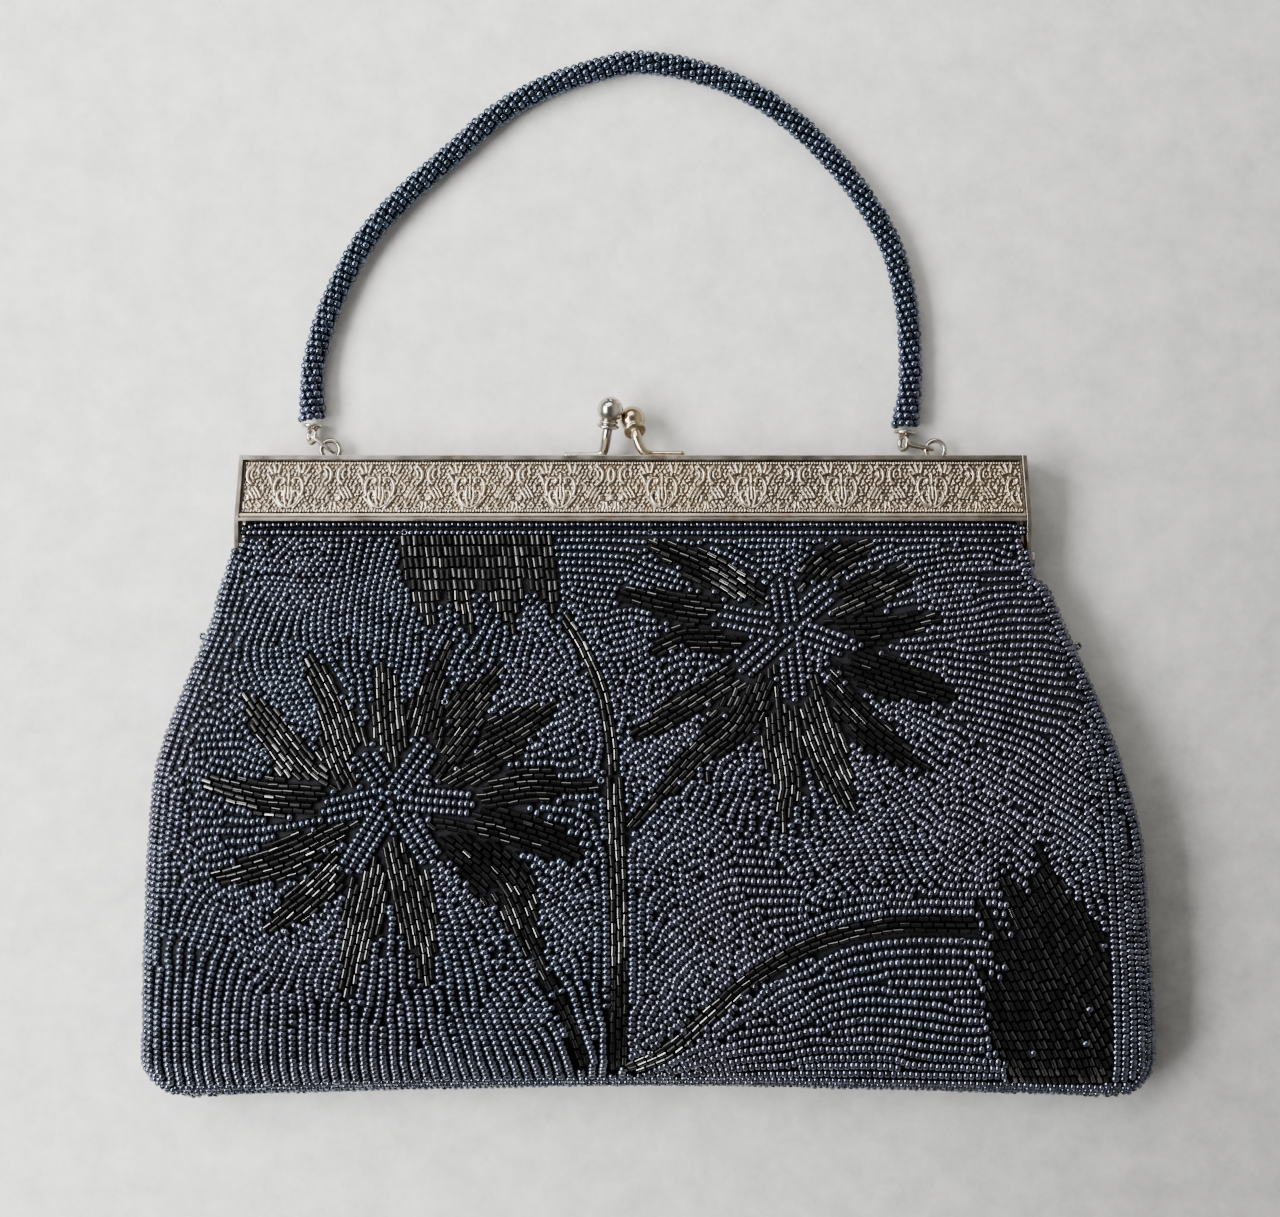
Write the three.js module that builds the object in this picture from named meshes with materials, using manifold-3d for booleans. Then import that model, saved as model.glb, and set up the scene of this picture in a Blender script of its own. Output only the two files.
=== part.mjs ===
// Beaded evening bag lying on its back: a hollow pouch, a hinged metal frame with a kiss-lock, a rope handle.
// Millimetres. x runs along the frame from its middle, y up from the frame's top edge towards the handle,
// z up from the surface that the bag lies on. The finished bag is then centred over the origin.
import * as THREE from "three";
import { mergeVertices } from "three/addons/utils/BufferGeometryUtils.js";
import Module from "manifold-3d";

const wasm = await Module();
wasm.setup();

const GAP = 0.3;

// Frame: two channel jaws that face each other and hinge at the ends of their side arms
const FRAME_WIDTH = 197.2;
const FRAME_HEIGHT = 16.5;
const FRAME_DEPTH = 14;
const TOP_RIM = 1.6;
const BOTTOM_RIM = 2.3;
const TRAY_DEPTH = 1.3;
const SHEET = 0.6;
const TOP_FLANGE = 1.2;
const SPLAY_DEG = 4.5;

const ARM_THICKNESS = 1.2;
const HINGE_DROP = 26;
const HINGE_EYE_RADIUS = 3.3;
const RIVET_RADIUS = 1.15;
const RIVET_HEAD_RADIUS = 2.2;
const RIVET_HEAD_HEIGHT = 0.6;

// Ornamental band set into the tray of the front jaw
const BAND_SHEET = 0.35;
const BAND_REPEATS = 8;
const BAND_PITCH = 22.4;

// Kiss-lock studs, one row each: where the foot starts and the post stands, and the middle of the ball
const BALL_RADIUS = 3.3;
const POST_RADIUS = 1.1;
const COLLAR_RADIUS = 2.85;
const COLLAR_HEIGHT = 0.9;
const FOOT_HEIGHT = 0.9;
const FOOT_DEPTH = 2.4;
const STUDS = {
  left: { footEnd: -17.8, postX: -7.3, footZ: 4.6, bendX: -6.9, ballX: -5.7, ballY: 12.7, ballZ: 8.6 },
  right: { footEnd: 13.7, postX: 2.6, footZ: 9.4, bendX: 0.9, ballX: 0.2, ballY: 10.8, ballZ: 5.6 },
};

// Handle lugs on the back jaw, links and end caps
const LUG_X = 77.2;
const LUG_Y = 2.1;
const LUG_RADIUS = 2.35;
const WIRE_RADIUS = 0.5;
const CHAIN_Z = 3.3;
const LINK_LENGTH = 8.4;
const LINK_WIDTH = 3.8;
const EYE_RADIUS = 1.9;
const CAP_RADIUS = 2.75;
const CAP_HEIGHT = 1;
const CAP_TOP = 3.2;

// Which way each link runs from its lug, how far along it sits, and how the end of the rope leans
const HANDLE_ENDS = {
  left: { side: -1, linkAngle: 144, linkReach: 2.7, eyeReach: 3.2, lean: -2 },
  right: { side: 1, linkAngle: 168, linkReach: 4.4, eyeReach: 3.9, lean: -5 },
};

const ROPE_RADIUS = 3.05;
const ROPE_SIDES = 12;
const ROPE_STEPS = 48;
const ROPE_Z = 3.2;

// The rope between its two ends, as points x, y along the arch
const ROPE_ARCH = [
  [-81.9, 20.2],
  [-79.3, 33],
  [-74.2, 45.6],
  [-66.4, 58.3],
  [-56.2, 68.9],
  [-46, 77.8],
  [-33.4, 88.6],
  [-21.2, 95.2],
  [-8.9, 99.2],
  [0.5, 101.1],
  [9.1, 100.4],
  [21.3, 97.2],
  [33.6, 91.3],
  [45.8, 81.7],
  [58.8, 66.6],
  [67.5, 49.8],
  [70.5, 32.9],
  [70.9, 20.2],
];

// Pouch: one row for each section, drop measured down from the frame's top edge.
// left and right bound the outline, back and crown the thickness, lift draws the middle of the section up,
// square is the power of the rounded crown: larger is boxier.
const POUCH_WALL = 2.2;
const LOWER_ROLL = 12;
const WIDEST_SHARE = 0.42;
const FLAT_STEPS = 8;
const ROLL_STEPS = 4;
const CROWN_STEPS = 20;
const POUCH_SECTIONS = [
  { drop: 2, left: -95, right: 95, back: 2.4, crown: 11.7, lift: 0, square: 8 },
  { drop: 17, left: -96.4, right: 96.4, back: 2.4, crown: 11.7, lift: 0, square: 8 },
  { drop: 21, left: -96.6, right: 96.6, back: 1.4, crown: 13, lift: 0, square: 6 },
  { drop: 29.5, left: -97, right: 97, back: 0.3, crown: 16, lift: 0, square: 4.5 },
  { drop: 33, left: -104.2, right: 104.9, back: 0, crown: 17.4, lift: 0, square: 3.8 },
  { drop: 42.5, left: -106.9, right: 109, back: 0, crown: 20, lift: 0, square: 3.4 },
  { drop: 55, left: -111.9, right: 114.6, back: 0, crown: 22.6, lift: 0, square: 3.2 },
  { drop: 67.6, left: -116.7, right: 119.6, back: 0, crown: 24.8, lift: 0, square: 3.2 },
  { drop: 80.2, left: -120.2, right: 123.8, back: 0, crown: 26.5, lift: 0, square: 3.2 },
  { drop: 99, left: -121.7, right: 128.1, back: 0, crown: 28, lift: 0, square: 3.2 },
  { drop: 124, left: -122.7, right: 129.8, back: 0, crown: 28, lift: 0, square: 3.2 },
  { drop: 143, left: -123.3, right: 131.2, back: 0, crown: 25.5, lift: 1, square: 3.2 },
  { drop: 152, left: -123.9, right: 131.6, back: 0.5, crown: 22.5, lift: 2, square: 3.2 },
  { drop: 157.5, left: -121, right: 129.5, back: 2, crown: 18.5, lift: 3, square: 3.2 },
  { drop: 160.5, left: -116.5, right: 125.5, back: 4, crown: 15, lift: 3.3, square: 3.2 },
  { drop: 161.8, left: -111, right: 120, back: 5.5, crown: 12.9, lift: 3.3, square: 3 },
];

const beadedCloth = new THREE.MeshStandardMaterial({ name: "beaded_cloth", color: 0x23263a, roughness: 0.35 });
const frameMetal = new THREE.MeshStandardMaterial({
  name: "frame_metal",
  color: 0xa9a294,
  metalness: 1,
  roughness: 0.35,
});

// Helpers for solids

function solidOf(geometry) {
  const bare = geometry.index ? geometry.toNonIndexed() : geometry.clone();
  bare.deleteAttribute("normal");
  bare.deleteAttribute("uv");
  const welded = mergeVertices(bare, 1e-4);
  const corners = [];
  const index = welded.index.array;
  for (let i = 0; i < index.length; i += 3) {
    const [a, b, c] = [index[i], index[i + 1], index[i + 2]];
    if (a !== b && b !== c && c !== a) corners.push(a, b, c);
  }
  const vertProperties = new Float32Array(welded.attributes.position.array);
  const mesh = new wasm.Mesh({ numProp: 3, vertProperties, triVerts: new Uint32Array(corners) });
  return new wasm.Manifold(mesh);
}

function geometryOf(solid) {
  const mesh = solid.getMesh();
  const geometry = new THREE.BufferGeometry();
  geometry.setAttribute("position", new THREE.BufferAttribute(new Float32Array(mesh.vertProperties), 3));
  geometry.setIndex(new THREE.BufferAttribute(new Uint32Array(mesh.triVerts), 1));
  return geometry;
}

function joined(geometries) {
  const [first, ...rest] = geometries.map(solidOf);
  return rest.reduce((whole, piece) => whole.add(piece), first);
}

function piece(name, geometry, material) {
  geometry.computeVertexNormals();
  const mesh = new THREE.Mesh(geometry, material);
  mesh.name = name;
  return mesh;
}

// A flat outline of [y, z] points pushed along x
const ALONG_X = new THREE.Matrix4().makeBasis(
  new THREE.Vector3(0, 1, 0),
  new THREE.Vector3(0, 0, 1),
  new THREE.Vector3(1, 0, 0)
);

function pushedAlongX(outline, fromX, toX) {
  const shape = new THREE.Shape(outline.map(([y, z]) => new THREE.Vector2(y, z)));
  const geometry = new THREE.ExtrudeGeometry(shape, { depth: toX - fromX, bevelEnabled: false });
  return geometry.applyMatrix4(ALONG_X).translate(fromX, 0, 0);
}

function roundOutline(radius, sides) {
  const points = [];
  for (let i = 0; i < sides; i += 1) {
    const angle = (2 * Math.PI * i) / sides;
    points.push(new THREE.Vector2(radius * Math.cos(angle), radius * Math.sin(angle)));
  }
  return new THREE.Shape(points);
}

function tube(points, radius, sides, steps) {
  const path = new THREE.CatmullRomCurve3(points);
  return new THREE.ExtrudeGeometry(roundOutline(radius, sides), { extrudePath: path, steps, bevelEnabled: false });
}

function rodAlongX(radius, length, sides) {
  return new THREE.CylinderGeometry(radius, radius, length, sides).rotateZ(-Math.PI / 2);
}

function blob(x, y, z, width, height, depth, turn, around, down) {
  const geometry = new THREE.SphereGeometry(1, around, down);
  return geometry.rotateX(Math.PI / 2).scale(width / 2, height / 2, depth / 2).rotateZ(turn).translate(x, y, z);
}

// The side arms lean outwards: everything on the jaws widens with its distance below the top edge
const SPLAY = Math.tan(THREE.MathUtils.degToRad(SPLAY_DEG)) / (FRAME_WIDTH / 2);

function splayed(geometry) {
  const position = geometry.attributes.position;
  for (let i = 0; i < position.count; i += 1) {
    const drop = Math.max(0, -position.getY(i));
    position.setX(i, position.getX(i) * (1 + SPLAY * drop));
  }
  return geometry;
}

// Pouch

function sectionRing({ drop, left, right, back, crown, lift, square }, inset, dropShare) {
  const middle = (left + right) / 2;
  const half = (right - left) / 2 - inset;
  const low = back + inset;
  const high = crown - inset;
  const widest = low + WIDEST_SHARE * (high - low);
  const flatHalf = half - LOWER_ROLL;
  const outline = [];
  for (let i = 0; i < FLAT_STEPS; i += 1) {
    outline.push([-flatHalf + (2 * flatHalf * i) / FLAT_STEPS, low]);
  }
  for (let i = 0; i < ROLL_STEPS; i += 1) {
    const turn = ((Math.PI / 2) * i) / ROLL_STEPS;
    outline.push([flatHalf + LOWER_ROLL * Math.sin(turn), widest - (widest - low) * Math.cos(turn)]);
  }
  for (let i = 0; i <= CROWN_STEPS; i += 1) {
    const turn = (Math.PI * i) / CROWN_STEPS;
    const across = Math.sign(Math.cos(turn)) * Math.abs(Math.cos(turn)) ** (2 / square);
    const up = Math.abs(Math.sin(turn)) ** (2 / square);
    outline.push([half * across, widest + (high - widest) * up]);
  }
  for (let i = ROLL_STEPS - 1; i > 0; i -= 1) {
    const turn = ((Math.PI / 2) * i) / ROLL_STEPS;
    outline.push([-flatHalf - LOWER_ROLL * Math.sin(turn), widest - (widest - low) * Math.cos(turn)]);
  }
  return outline.map(([x, z]) => [middle + x, -drop * dropShare + lift * (1 - (x / half) ** 2), z]);
}

function pouchGeometry() {
  const bottomDrop = POUCH_SECTIONS[POUCH_SECTIONS.length - 1].drop;
  const innerShare = 1 - POUCH_WALL / bottomDrop;
  const outer = POUCH_SECTIONS.map((section) => sectionRing(section, 0, 1));
  const inner = POUCH_SECTIONS.map((section) => sectionRing(section, POUCH_WALL, innerShare));
  const around = outer[0].length;
  const triangles = [];
  const skin = (rings, outwards) => {
    for (let row = 0; row + 1 < rings.length; row += 1) {
      for (let i = 0; i < around; i += 1) {
        const next = (i + 1) % around;
        const [a, b, c, d] = [rings[row][i], rings[row][next], rings[row + 1][next], rings[row + 1][i]];
        if (outwards) triangles.push(a, b, c, a, c, d);
        else triangles.push(a, c, b, a, d, c);
      }
    }
    const last = rings[rings.length - 1];
    const sum = last.reduce((total, point) => total.map((value, axis) => value + point[axis]), [0, 0, 0]);
    const heart = sum.map((value) => value / around);
    for (let i = 0; i < around; i += 1) {
      const next = (i + 1) % around;
      if (outwards) triangles.push(heart, last[i], last[next]);
      else triangles.push(heart, last[next], last[i]);
    }
  };
  skin(outer, true);
  skin(inner, false);
  for (let i = 0; i < around; i += 1) {
    const next = (i + 1) % around;
    const [a, b, c, d] = [outer[0][i], inner[0][i], inner[0][next], outer[0][next]];
    triangles.push(a, b, c, a, c, d);
  }
  const geometry = new THREE.BufferGeometry();
  geometry.setAttribute("position", new THREE.Float32BufferAttribute(triangles.flat(), 3));
  return mergeVertices(geometry, 1e-4);
}

// Frame jaws, drawn for the front; the back jaw is the same seen in a mirror

const HALF_WIDTH = FRAME_WIDTH / 2;
const MIDDLE_Z = FRAME_DEPTH / 2;
const JAW_EDGE = MIDDLE_Z + GAP / 2;
const TRAY_FLOOR = FRAME_DEPTH - TRAY_DEPTH;

function frontToBack(outline, isBack) {
  if (!isBack) return outline;
  return outline.map(([y, z]) => [y, FRAME_DEPTH - z]).reverse();
}

function channelOutline() {
  const sheetBack = TRAY_FLOOR - SHEET;
  return [
    [0, JAW_EDGE],
    [0, FRAME_DEPTH],
    [-TOP_RIM, FRAME_DEPTH],
    [-TOP_RIM, TRAY_FLOOR],
    [BOTTOM_RIM - FRAME_HEIGHT, TRAY_FLOOR],
    [BOTTOM_RIM - FRAME_HEIGHT, FRAME_DEPTH],
    [-FRAME_HEIGHT, FRAME_DEPTH],
    [-FRAME_HEIGHT, sheetBack],
    [-TOP_FLANGE, sheetBack],
    [-TOP_FLANGE, JAW_EDGE],
  ];
}

function armOutline() {
  const outline = [
    [-HINGE_DROP + HINGE_EYE_RADIUS * 1.6, JAW_EDGE],
    [0, JAW_EDGE],
    [0, FRAME_DEPTH],
    [-FRAME_HEIGHT, FRAME_DEPTH],
  ];
  const eyeSteps = 10;
  for (let i = 0; i <= eyeSteps; i += 1) {
    const turn = THREE.MathUtils.degToRad(70 + (220 * i) / eyeSteps);
    const y = -HINGE_DROP + HINGE_EYE_RADIUS * Math.cos(turn);
    outline.push([y, MIDDLE_Z + HINGE_EYE_RADIUS * Math.sin(turn)]);
  }
  return outline;
}

function studGeometries({ footEnd, postX, footZ, bendX, ballX, ballY, ballZ }) {
  const outwards = Math.sign(footEnd - postX);
  const footLength = Math.abs(footEnd - postX) + POST_RADIUS;
  const foot = new THREE.BoxGeometry(footLength, FOOT_HEIGHT, FOOT_DEPTH);
  foot.translate(footEnd - (outwards * footLength) / 2, FOOT_HEIGHT / 2 - 0.1, footZ);
  const start = new THREE.Vector3(postX, -0.4, footZ);
  const ball = new THREE.Vector3(ballX, ballY, ballZ);
  const bend = new THREE.Vector3(bendX, ballY * 0.42, footZ + (ballZ - footZ) * 0.6);
  const post = tube([start, bend, ball], POST_RADIUS, 8, 6);
  const axis = ball.clone().sub(bend).normalize();
  const upright = new THREE.Quaternion().setFromUnitVectors(new THREE.Vector3(0, 1, 0), axis);
  const collarAt = (distance, radius) => {
    const collar = new THREE.CylinderGeometry(radius, radius, COLLAR_HEIGHT, 12).applyQuaternion(upright);
    const middle = ball.clone().addScaledVector(axis, -distance);
    return collar.translate(middle.x, middle.y, middle.z);
  };
  const upperCollar = collarAt(BALL_RADIUS * 0.9, COLLAR_RADIUS);
  const lowerCollar = collarAt(BALL_RADIUS * 0.9 + COLLAR_HEIGHT + GAP, COLLAR_RADIUS * 0.92);
  const head = new THREE.SphereGeometry(BALL_RADIUS, 14, 9).translate(ballX, ballY, ballZ);
  return [foot, post, upperCollar, lowerCollar, head];
}

function jawGeometry(isBack, stud, extras) {
  const armOuter = isBack ? HALF_WIDTH - ARM_THICKNESS - GAP : HALF_WIDTH;
  const arm = frontToBack(armOutline(), isBack);
  const pieces = [pushedAlongX(frontToBack(channelOutline(), isBack), -HALF_WIDTH, HALF_WIDTH)];
  for (const side of [-1, 1]) {
    const [from, to] = [side * armOuter, side * (armOuter - ARM_THICKNESS)].sort((a, b) => a - b);
    pieces.push(pushedAlongX(arm, from, to));
  }
  const bore = rodAlongX(RIVET_RADIUS + GAP + 0.1, FRAME_WIDTH + 20, 12).translate(0, -HINGE_DROP, MIDDLE_Z);
  const body = joined(pieces).subtract(solidOf(bore));
  const leaning = solidOf(splayed(geometryOf(body)));
  const fittings = joined([...studGeometries(stud), ...extras]);
  return geometryOf(leaning.add(fittings));
}

function lugGeometry(side) {
  const ring = new THREE.TorusGeometry(LUG_RADIUS, WIRE_RADIUS + 0.05, 6, 18);
  return ring.translate(side * LUG_X, LUG_Y, CHAIN_Z);
}

// Hinge rivets: a shank with a head outside the front arm and one inside the back arm

function rivetGeometry(side) {
  const shift = 1 + SPLAY * HINGE_DROP;
  const outerFace = HALF_WIDTH * shift + GAP;
  const innerFace = (HALF_WIDTH - 2 * ARM_THICKNESS - GAP) * shift - GAP;
  const head = (middle) => rodAlongX(RIVET_HEAD_RADIUS, RIVET_HEAD_HEIGHT, 12).translate(side * middle, 0, 0);
  const overlap = RIVET_HEAD_HEIGHT / 2;
  const shankLength = outerFace - innerFace + RIVET_HEAD_HEIGHT;
  const shank = rodAlongX(RIVET_RADIUS, shankLength, 12).translate((side * (outerFace + innerFace)) / 2, 0, 0);
  return geometryOf(joined([shank, head(outerFace + overlap), head(innerFace - overlap)]));
}

// Ornamental band: a strip with repeats of a heart of two scrolls round a leaf, with leaves above and between

function scroll(x, y, z, radius, from, to, wire) {
  const points = [];
  const steps = 4;
  for (let i = 0; i <= steps; i += 1) {
    const share = i / steps;
    const angle = THREE.MathUtils.degToRad(from + (to - from) * share);
    const reach = radius * (1 - 0.35 * share);
    points.push(new THREE.Vector3(x + reach * Math.cos(angle), y + reach * Math.sin(angle), z));
  }
  return tube(points, wire, 5, 5);
}

function bandGeometry() {
  const low = TRAY_FLOOR + GAP;
  const face = low + BAND_SHEET;
  const height = FRAME_HEIGHT - TOP_RIM - BOTTOM_RIM - 2 * GAP;
  const width = FRAME_WIDTH - 2 * ARM_THICKNESS - 2 * GAP;
  const middleY = -TOP_RIM - GAP - height / 2;
  const relief = [];
  for (let repeat = 0; repeat < BAND_REPEATS; repeat += 1) {
    const x = (repeat - (BAND_REPEATS - 1) / 2) * BAND_PITCH;
    for (const side of [-1, 1]) {
      const [from, to] = side > 0 ? [-75, 175] : [255, 5];
      relief.push(scroll(x + side * 2.5, middleY - 0.8, face, 2.3, from, to, 0.5));
      relief.push(blob(x + side * 1.6, middleY + 4.1, face, 1, 2.6, 0.9, -side * 0.6, 6, 3));
      relief.push(blob(x + side * 8.4, middleY + 2.6, face, 4.2, 1.2, 0.9, side * 0.7, 6, 3));
    }
    relief.push(blob(x, middleY - 0.6, face, 1.3, 3.4, 1, 0, 6, 3));
    if (repeat + 1 < BAND_REPEATS) {
      relief.push(blob(x + BAND_PITCH / 2, middleY - 2.8, face, 5.6, 3, 1, 0, 6, 3));
    }
  }
  const below = new THREE.BoxGeometry(width, height * 2, 2).translate(0, middleY, face - BAND_SHEET / 2 - 1);
  const raised = joined(relief).subtract(solidOf(below));
  const strip = new THREE.BoxGeometry(width, height, BAND_SHEET).translate(0, middleY, low + BAND_SHEET / 2);
  return splayed(geometryOf(solidOf(strip).add(raised)));
}

// Handle ends: a disc with a soldered eye, and a link through the eye and the lug

function flatDirection(degrees) {
  const angle = THREE.MathUtils.degToRad(degrees);
  return new THREE.Vector3(Math.cos(angle), Math.sin(angle), 0);
}

function linkPosition({ side, linkAngle, linkReach }) {
  const lug = new THREE.Vector3(side * LUG_X, LUG_Y, CHAIN_Z);
  return lug.addScaledVector(flatDirection(linkAngle), linkReach);
}

function eyePosition(end) {
  return linkPosition(end).addScaledVector(flatDirection(end.linkAngle), end.eyeReach);
}

function ropeEnd(end) {
  const reach = CAP_TOP + GAP;
  return eyePosition(end).addScaledVector(flatDirection(90 + end.lean), reach);
}

function linkGeometry({ linkAngle }) {
  const bend = LINK_WIDTH / 2 - WIRE_RADIUS;
  const stretch = (LINK_LENGTH - LINK_WIDTH) / 2;
  const around = 16;
  const ring = new THREE.TorusGeometry(bend, WIRE_RADIUS, 6, around).rotateZ(Math.PI / around);
  const position = ring.attributes.position;
  for (let i = 0; i < position.count; i += 1) {
    position.setX(i, position.getX(i) + Math.sign(position.getX(i)) * stretch);
  }
  return ring.rotateX(Math.PI / 2).rotateZ(THREE.MathUtils.degToRad(linkAngle));
}

function capGeometry() {
  const eye = new THREE.TorusGeometry(EYE_RADIUS, WIRE_RADIUS, 6, 16);
  const base = CAP_TOP - CAP_HEIGHT;
  const profile = [
    [0, base - 0.4],
    [1.2, base - 0.4],
    [1.4, base],
    [CAP_RADIUS - 0.3, base],
    [CAP_RADIUS, base + 0.3],
    [CAP_RADIUS, CAP_TOP],
    [0, CAP_TOP],
  ];
  const disc = new THREE.LatheGeometry(profile.map(([r, h]) => new THREE.Vector2(r, h)), 14);
  return geometryOf(joined([disc, eye]));
}

function ropeGeometry() {
  const start = ropeEnd(HANDLE_ENDS.left).setZ(ROPE_Z);
  const finish = ropeEnd(HANDLE_ENDS.right).setZ(ROPE_Z);
  const arch = ROPE_ARCH.map(([x, y]) => new THREE.Vector3(x, y, ROPE_Z));
  return tube([start, ...arch, finish], ROPE_RADIUS, ROPE_SIDES, ROPE_STEPS);
}

// The whole bag

const bag = new THREE.Group();
bag.name = "bag";

bag.add(piece("pouch", pouchGeometry(), beadedCloth));
bag.add(piece("frame_front", jawGeometry(false, STUDS.right, []), frameMetal));
bag.add(piece("frame_back", jawGeometry(true, STUDS.left, [lugGeometry(-1), lugGeometry(1)]), frameMetal));
bag.add(piece("band_front", bandGeometry(), frameMetal));
bag.add(piece("handle_rope", ropeGeometry(), beadedCloth));

for (const [name, end] of Object.entries(HANDLE_ENDS)) {
  const rivet = piece(`hinge_rivet_${name}`, rivetGeometry(end.side), frameMetal);
  rivet.position.set(0, -HINGE_DROP, MIDDLE_Z);
  const link = piece(`link_${name}`, linkGeometry(end), frameMetal);
  link.position.copy(linkPosition(end));
  const cap = piece(`handle_cap_${name}`, capGeometry(), frameMetal);
  cap.position.copy(eyePosition(end));
  cap.rotation.z = THREE.MathUtils.degToRad(end.lean);
  bag.add(rivet, link, cap);
}

const reach = new THREE.Box3().setFromObject(bag);
bag.position.set(-(reach.min.x + reach.max.x) / 2, -(reach.min.y + reach.max.y) / 2, -reach.min.z);

const part = new THREE.Group();
part.name = "beaded_bag";
part.add(bag);

export default part;
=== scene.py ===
"""A beaded evening bag lying on its back: seed beads and bugles strung over a cloth pouch, a silvered frame
with an embossed band and a kiss-lock, and a beaded rope handle.

Lengths are millimetres in the bag's own coordinates: x from the middle of the frame, y up from its top edge
towards the handle, z up from the floor. A drop is a distance below the top edge.
"""

import collections
import functools
import itertools
import math

import bmesh
import bpy
import numpy as np
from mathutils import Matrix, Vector
from mathutils.kdtree import KDTree


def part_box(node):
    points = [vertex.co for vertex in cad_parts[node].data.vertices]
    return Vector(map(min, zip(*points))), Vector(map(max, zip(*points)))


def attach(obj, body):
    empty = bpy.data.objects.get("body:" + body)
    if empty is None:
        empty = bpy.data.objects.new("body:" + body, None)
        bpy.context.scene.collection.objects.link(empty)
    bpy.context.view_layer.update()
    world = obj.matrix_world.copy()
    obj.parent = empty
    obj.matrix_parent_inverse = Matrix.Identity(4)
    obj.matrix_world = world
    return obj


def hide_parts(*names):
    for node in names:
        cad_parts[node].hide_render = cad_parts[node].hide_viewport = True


MM = 0.001
RNG = np.random.default_rng(11)

# Camera: straight above the bag, as far away as the photograph's perspective says
CAMERA_AIM = (1.8, -38.4)
CAMERA_HEIGHT = 520
LENS = 56.9
SENSOR = 36

# Beads: sizes, pitches and gaps, and the shares of a gap that keep strings apart and count as a hole
SEED_DIAMETER = 2.3
SEED_LENGTH = 1.46
SEED_PITCH = 1.5
STRING_GAP = 2.25
OPEN_SHARE = 0.86
NARROW_SHARE = 0.72
EASE = 1.12
TOP_ROW_GAP = 1.78
HOLE_SHARE = 0.77
BUGLE_DIAMETER = 1.42
BUGLE_LENGTH = 2.36
BUGLE_PITCH = 2.7
BUGLE_GAP = 1.46
BUGLE_STEP = 0.1
BUGLE_SLACK = 0.3
BUGLE_SINK = 0.25
BUGLE_EDGE_SLACK = 0.45
BUGLE_END_OVERLAP = 0.2
BUGLE_SIDE_OVERLAP = 0.25
BUGLE_SIDE_SLACK = 0.05
BUGLE_SWAY = 0.045
CLOTH_DEPTH = 1.75
WALL_DEPTH = 2.2

# The strings of the front lie closer together near the frame: drop, share of the full gap
GAP_DROPS = (20, 60, 95)
GAP_SHARES = (0.77, 0.9, 1.04)

# Pouch form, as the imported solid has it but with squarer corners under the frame: one row for each section
SECTION_COLUMNS = ("drop", "left", "right", "back", "crown", "lift", "square")
SECTION_ROWS = (
    (2, -95, 95, 2.4, 11.7, 0, 8),
    (17, -96.4, 96.4, 2.4, 11.7, 0, 20),
    (21, -96.6, 96.6, 1.4, 13, 0, 9),
    (29.5, -97, 97, 0.3, 16, 0, 4.5),
    (33, -104.2, 104.9, 0, 17.4, 0, 3.8),
    (42.5, -106.9, 109, 0, 20, 0, 3.4),
    (55, -111.9, 114.6, 0, 22.6, 0, 3.2),
    (67.6, -116.7, 119.6, 0, 24.8, 0, 3.2),
    (80.2, -120.2, 123.8, 0, 26.5, 0, 3.2),
    (99, -121.7, 128.1, 0, 28, 0, 3.2),
    (124, -122.7, 129.8, 0, 28, 0, 3.2),
    (143, -123.3, 131.2, 0, 25.5, 1, 3.2),
    (152, -123.9, 131.6, 0.5, 22.5, 2, 3.2),
    (157.5, -121, 129.5, 2, 18.5, 3, 3.2),
    (160.5, -116.5, 125.5, 4, 15, 3.3, 3.2),
    (161.8, -111, 120, 5.5, 12.9, 3.3, 3),
)
POUCH_BOTTOM = SECTION_ROWS[-1][0]
LOWER_ROLL = 12
WIDEST_SHARE = 0.42
CROWN_POINTS = 49

# Where the beaded cloth bulges over the arms of the frame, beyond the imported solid: how far it clears the
# arms, how far the crown stands over its widest line at least, and one row for each section
ARM_CLEARANCE = 1.3
CROWN_RISE = 1.2
SHOULDER_COLUMNS = ("drop", "left", "right")
SHOULDER_ROWS = (
    (17, -98.6, 98.6),
    (19.1, -99.2, 98.9),
    (22.6, -100.3, 99.5),
    (25.4, -101.2, 100),
    (28, -102.4, 100.8),
    (31.4, -104, 102.4),
    (35, -105.2, 104.8),
    (39, -105.5, 107),
)

# Where the strings of the front give way to the rows that run round the edges and over the back
FRONT_TOP = 17.1
FRONT_BOTTOM = 159.4
EDGE_INSET = 2.6
TOP_ROWS = 2
TOP_ROW_INSET = 0.9
SIDE_ROWS = 11
SIDE_ROWS_END = 160.6
SIDE_ROW_OFFSET = 0.02
BOTTOM_ROWS = 17
BOTTOM_ROWS_END = 138
BOTTOM_ROWS_REACH = 0.998
BOTTOM_ROW_OFFSET = 0.15
BACK_ROWS_END = 146
ROW_CLEARANCE = 1.2
SIDE_ROOM = 0.75
BOTTOM_ROOM = 0.4
LEAST_BEAD_GAP = 1.2

# Strings that hang straight down inside the right edge: x and drop of the upper and of the lower end
EDGE_STRINGS = ((116.2, 73, 120.8, 157), (118.9, 81, 123, 157), (121.3, 89, 125.2, 157))

# Right of the first x strings run level under the frame, and on the right, above a drop, out to the edge;
# left of the second x they hang to the bottom edge
LEVEL_RIGHT_OF = -50
LEVEL_ABOVE = 64
LEVEL_ANGLE = -10
HANGING_LEFT_OF = -4
HANGING_ANGLE = 95

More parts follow.
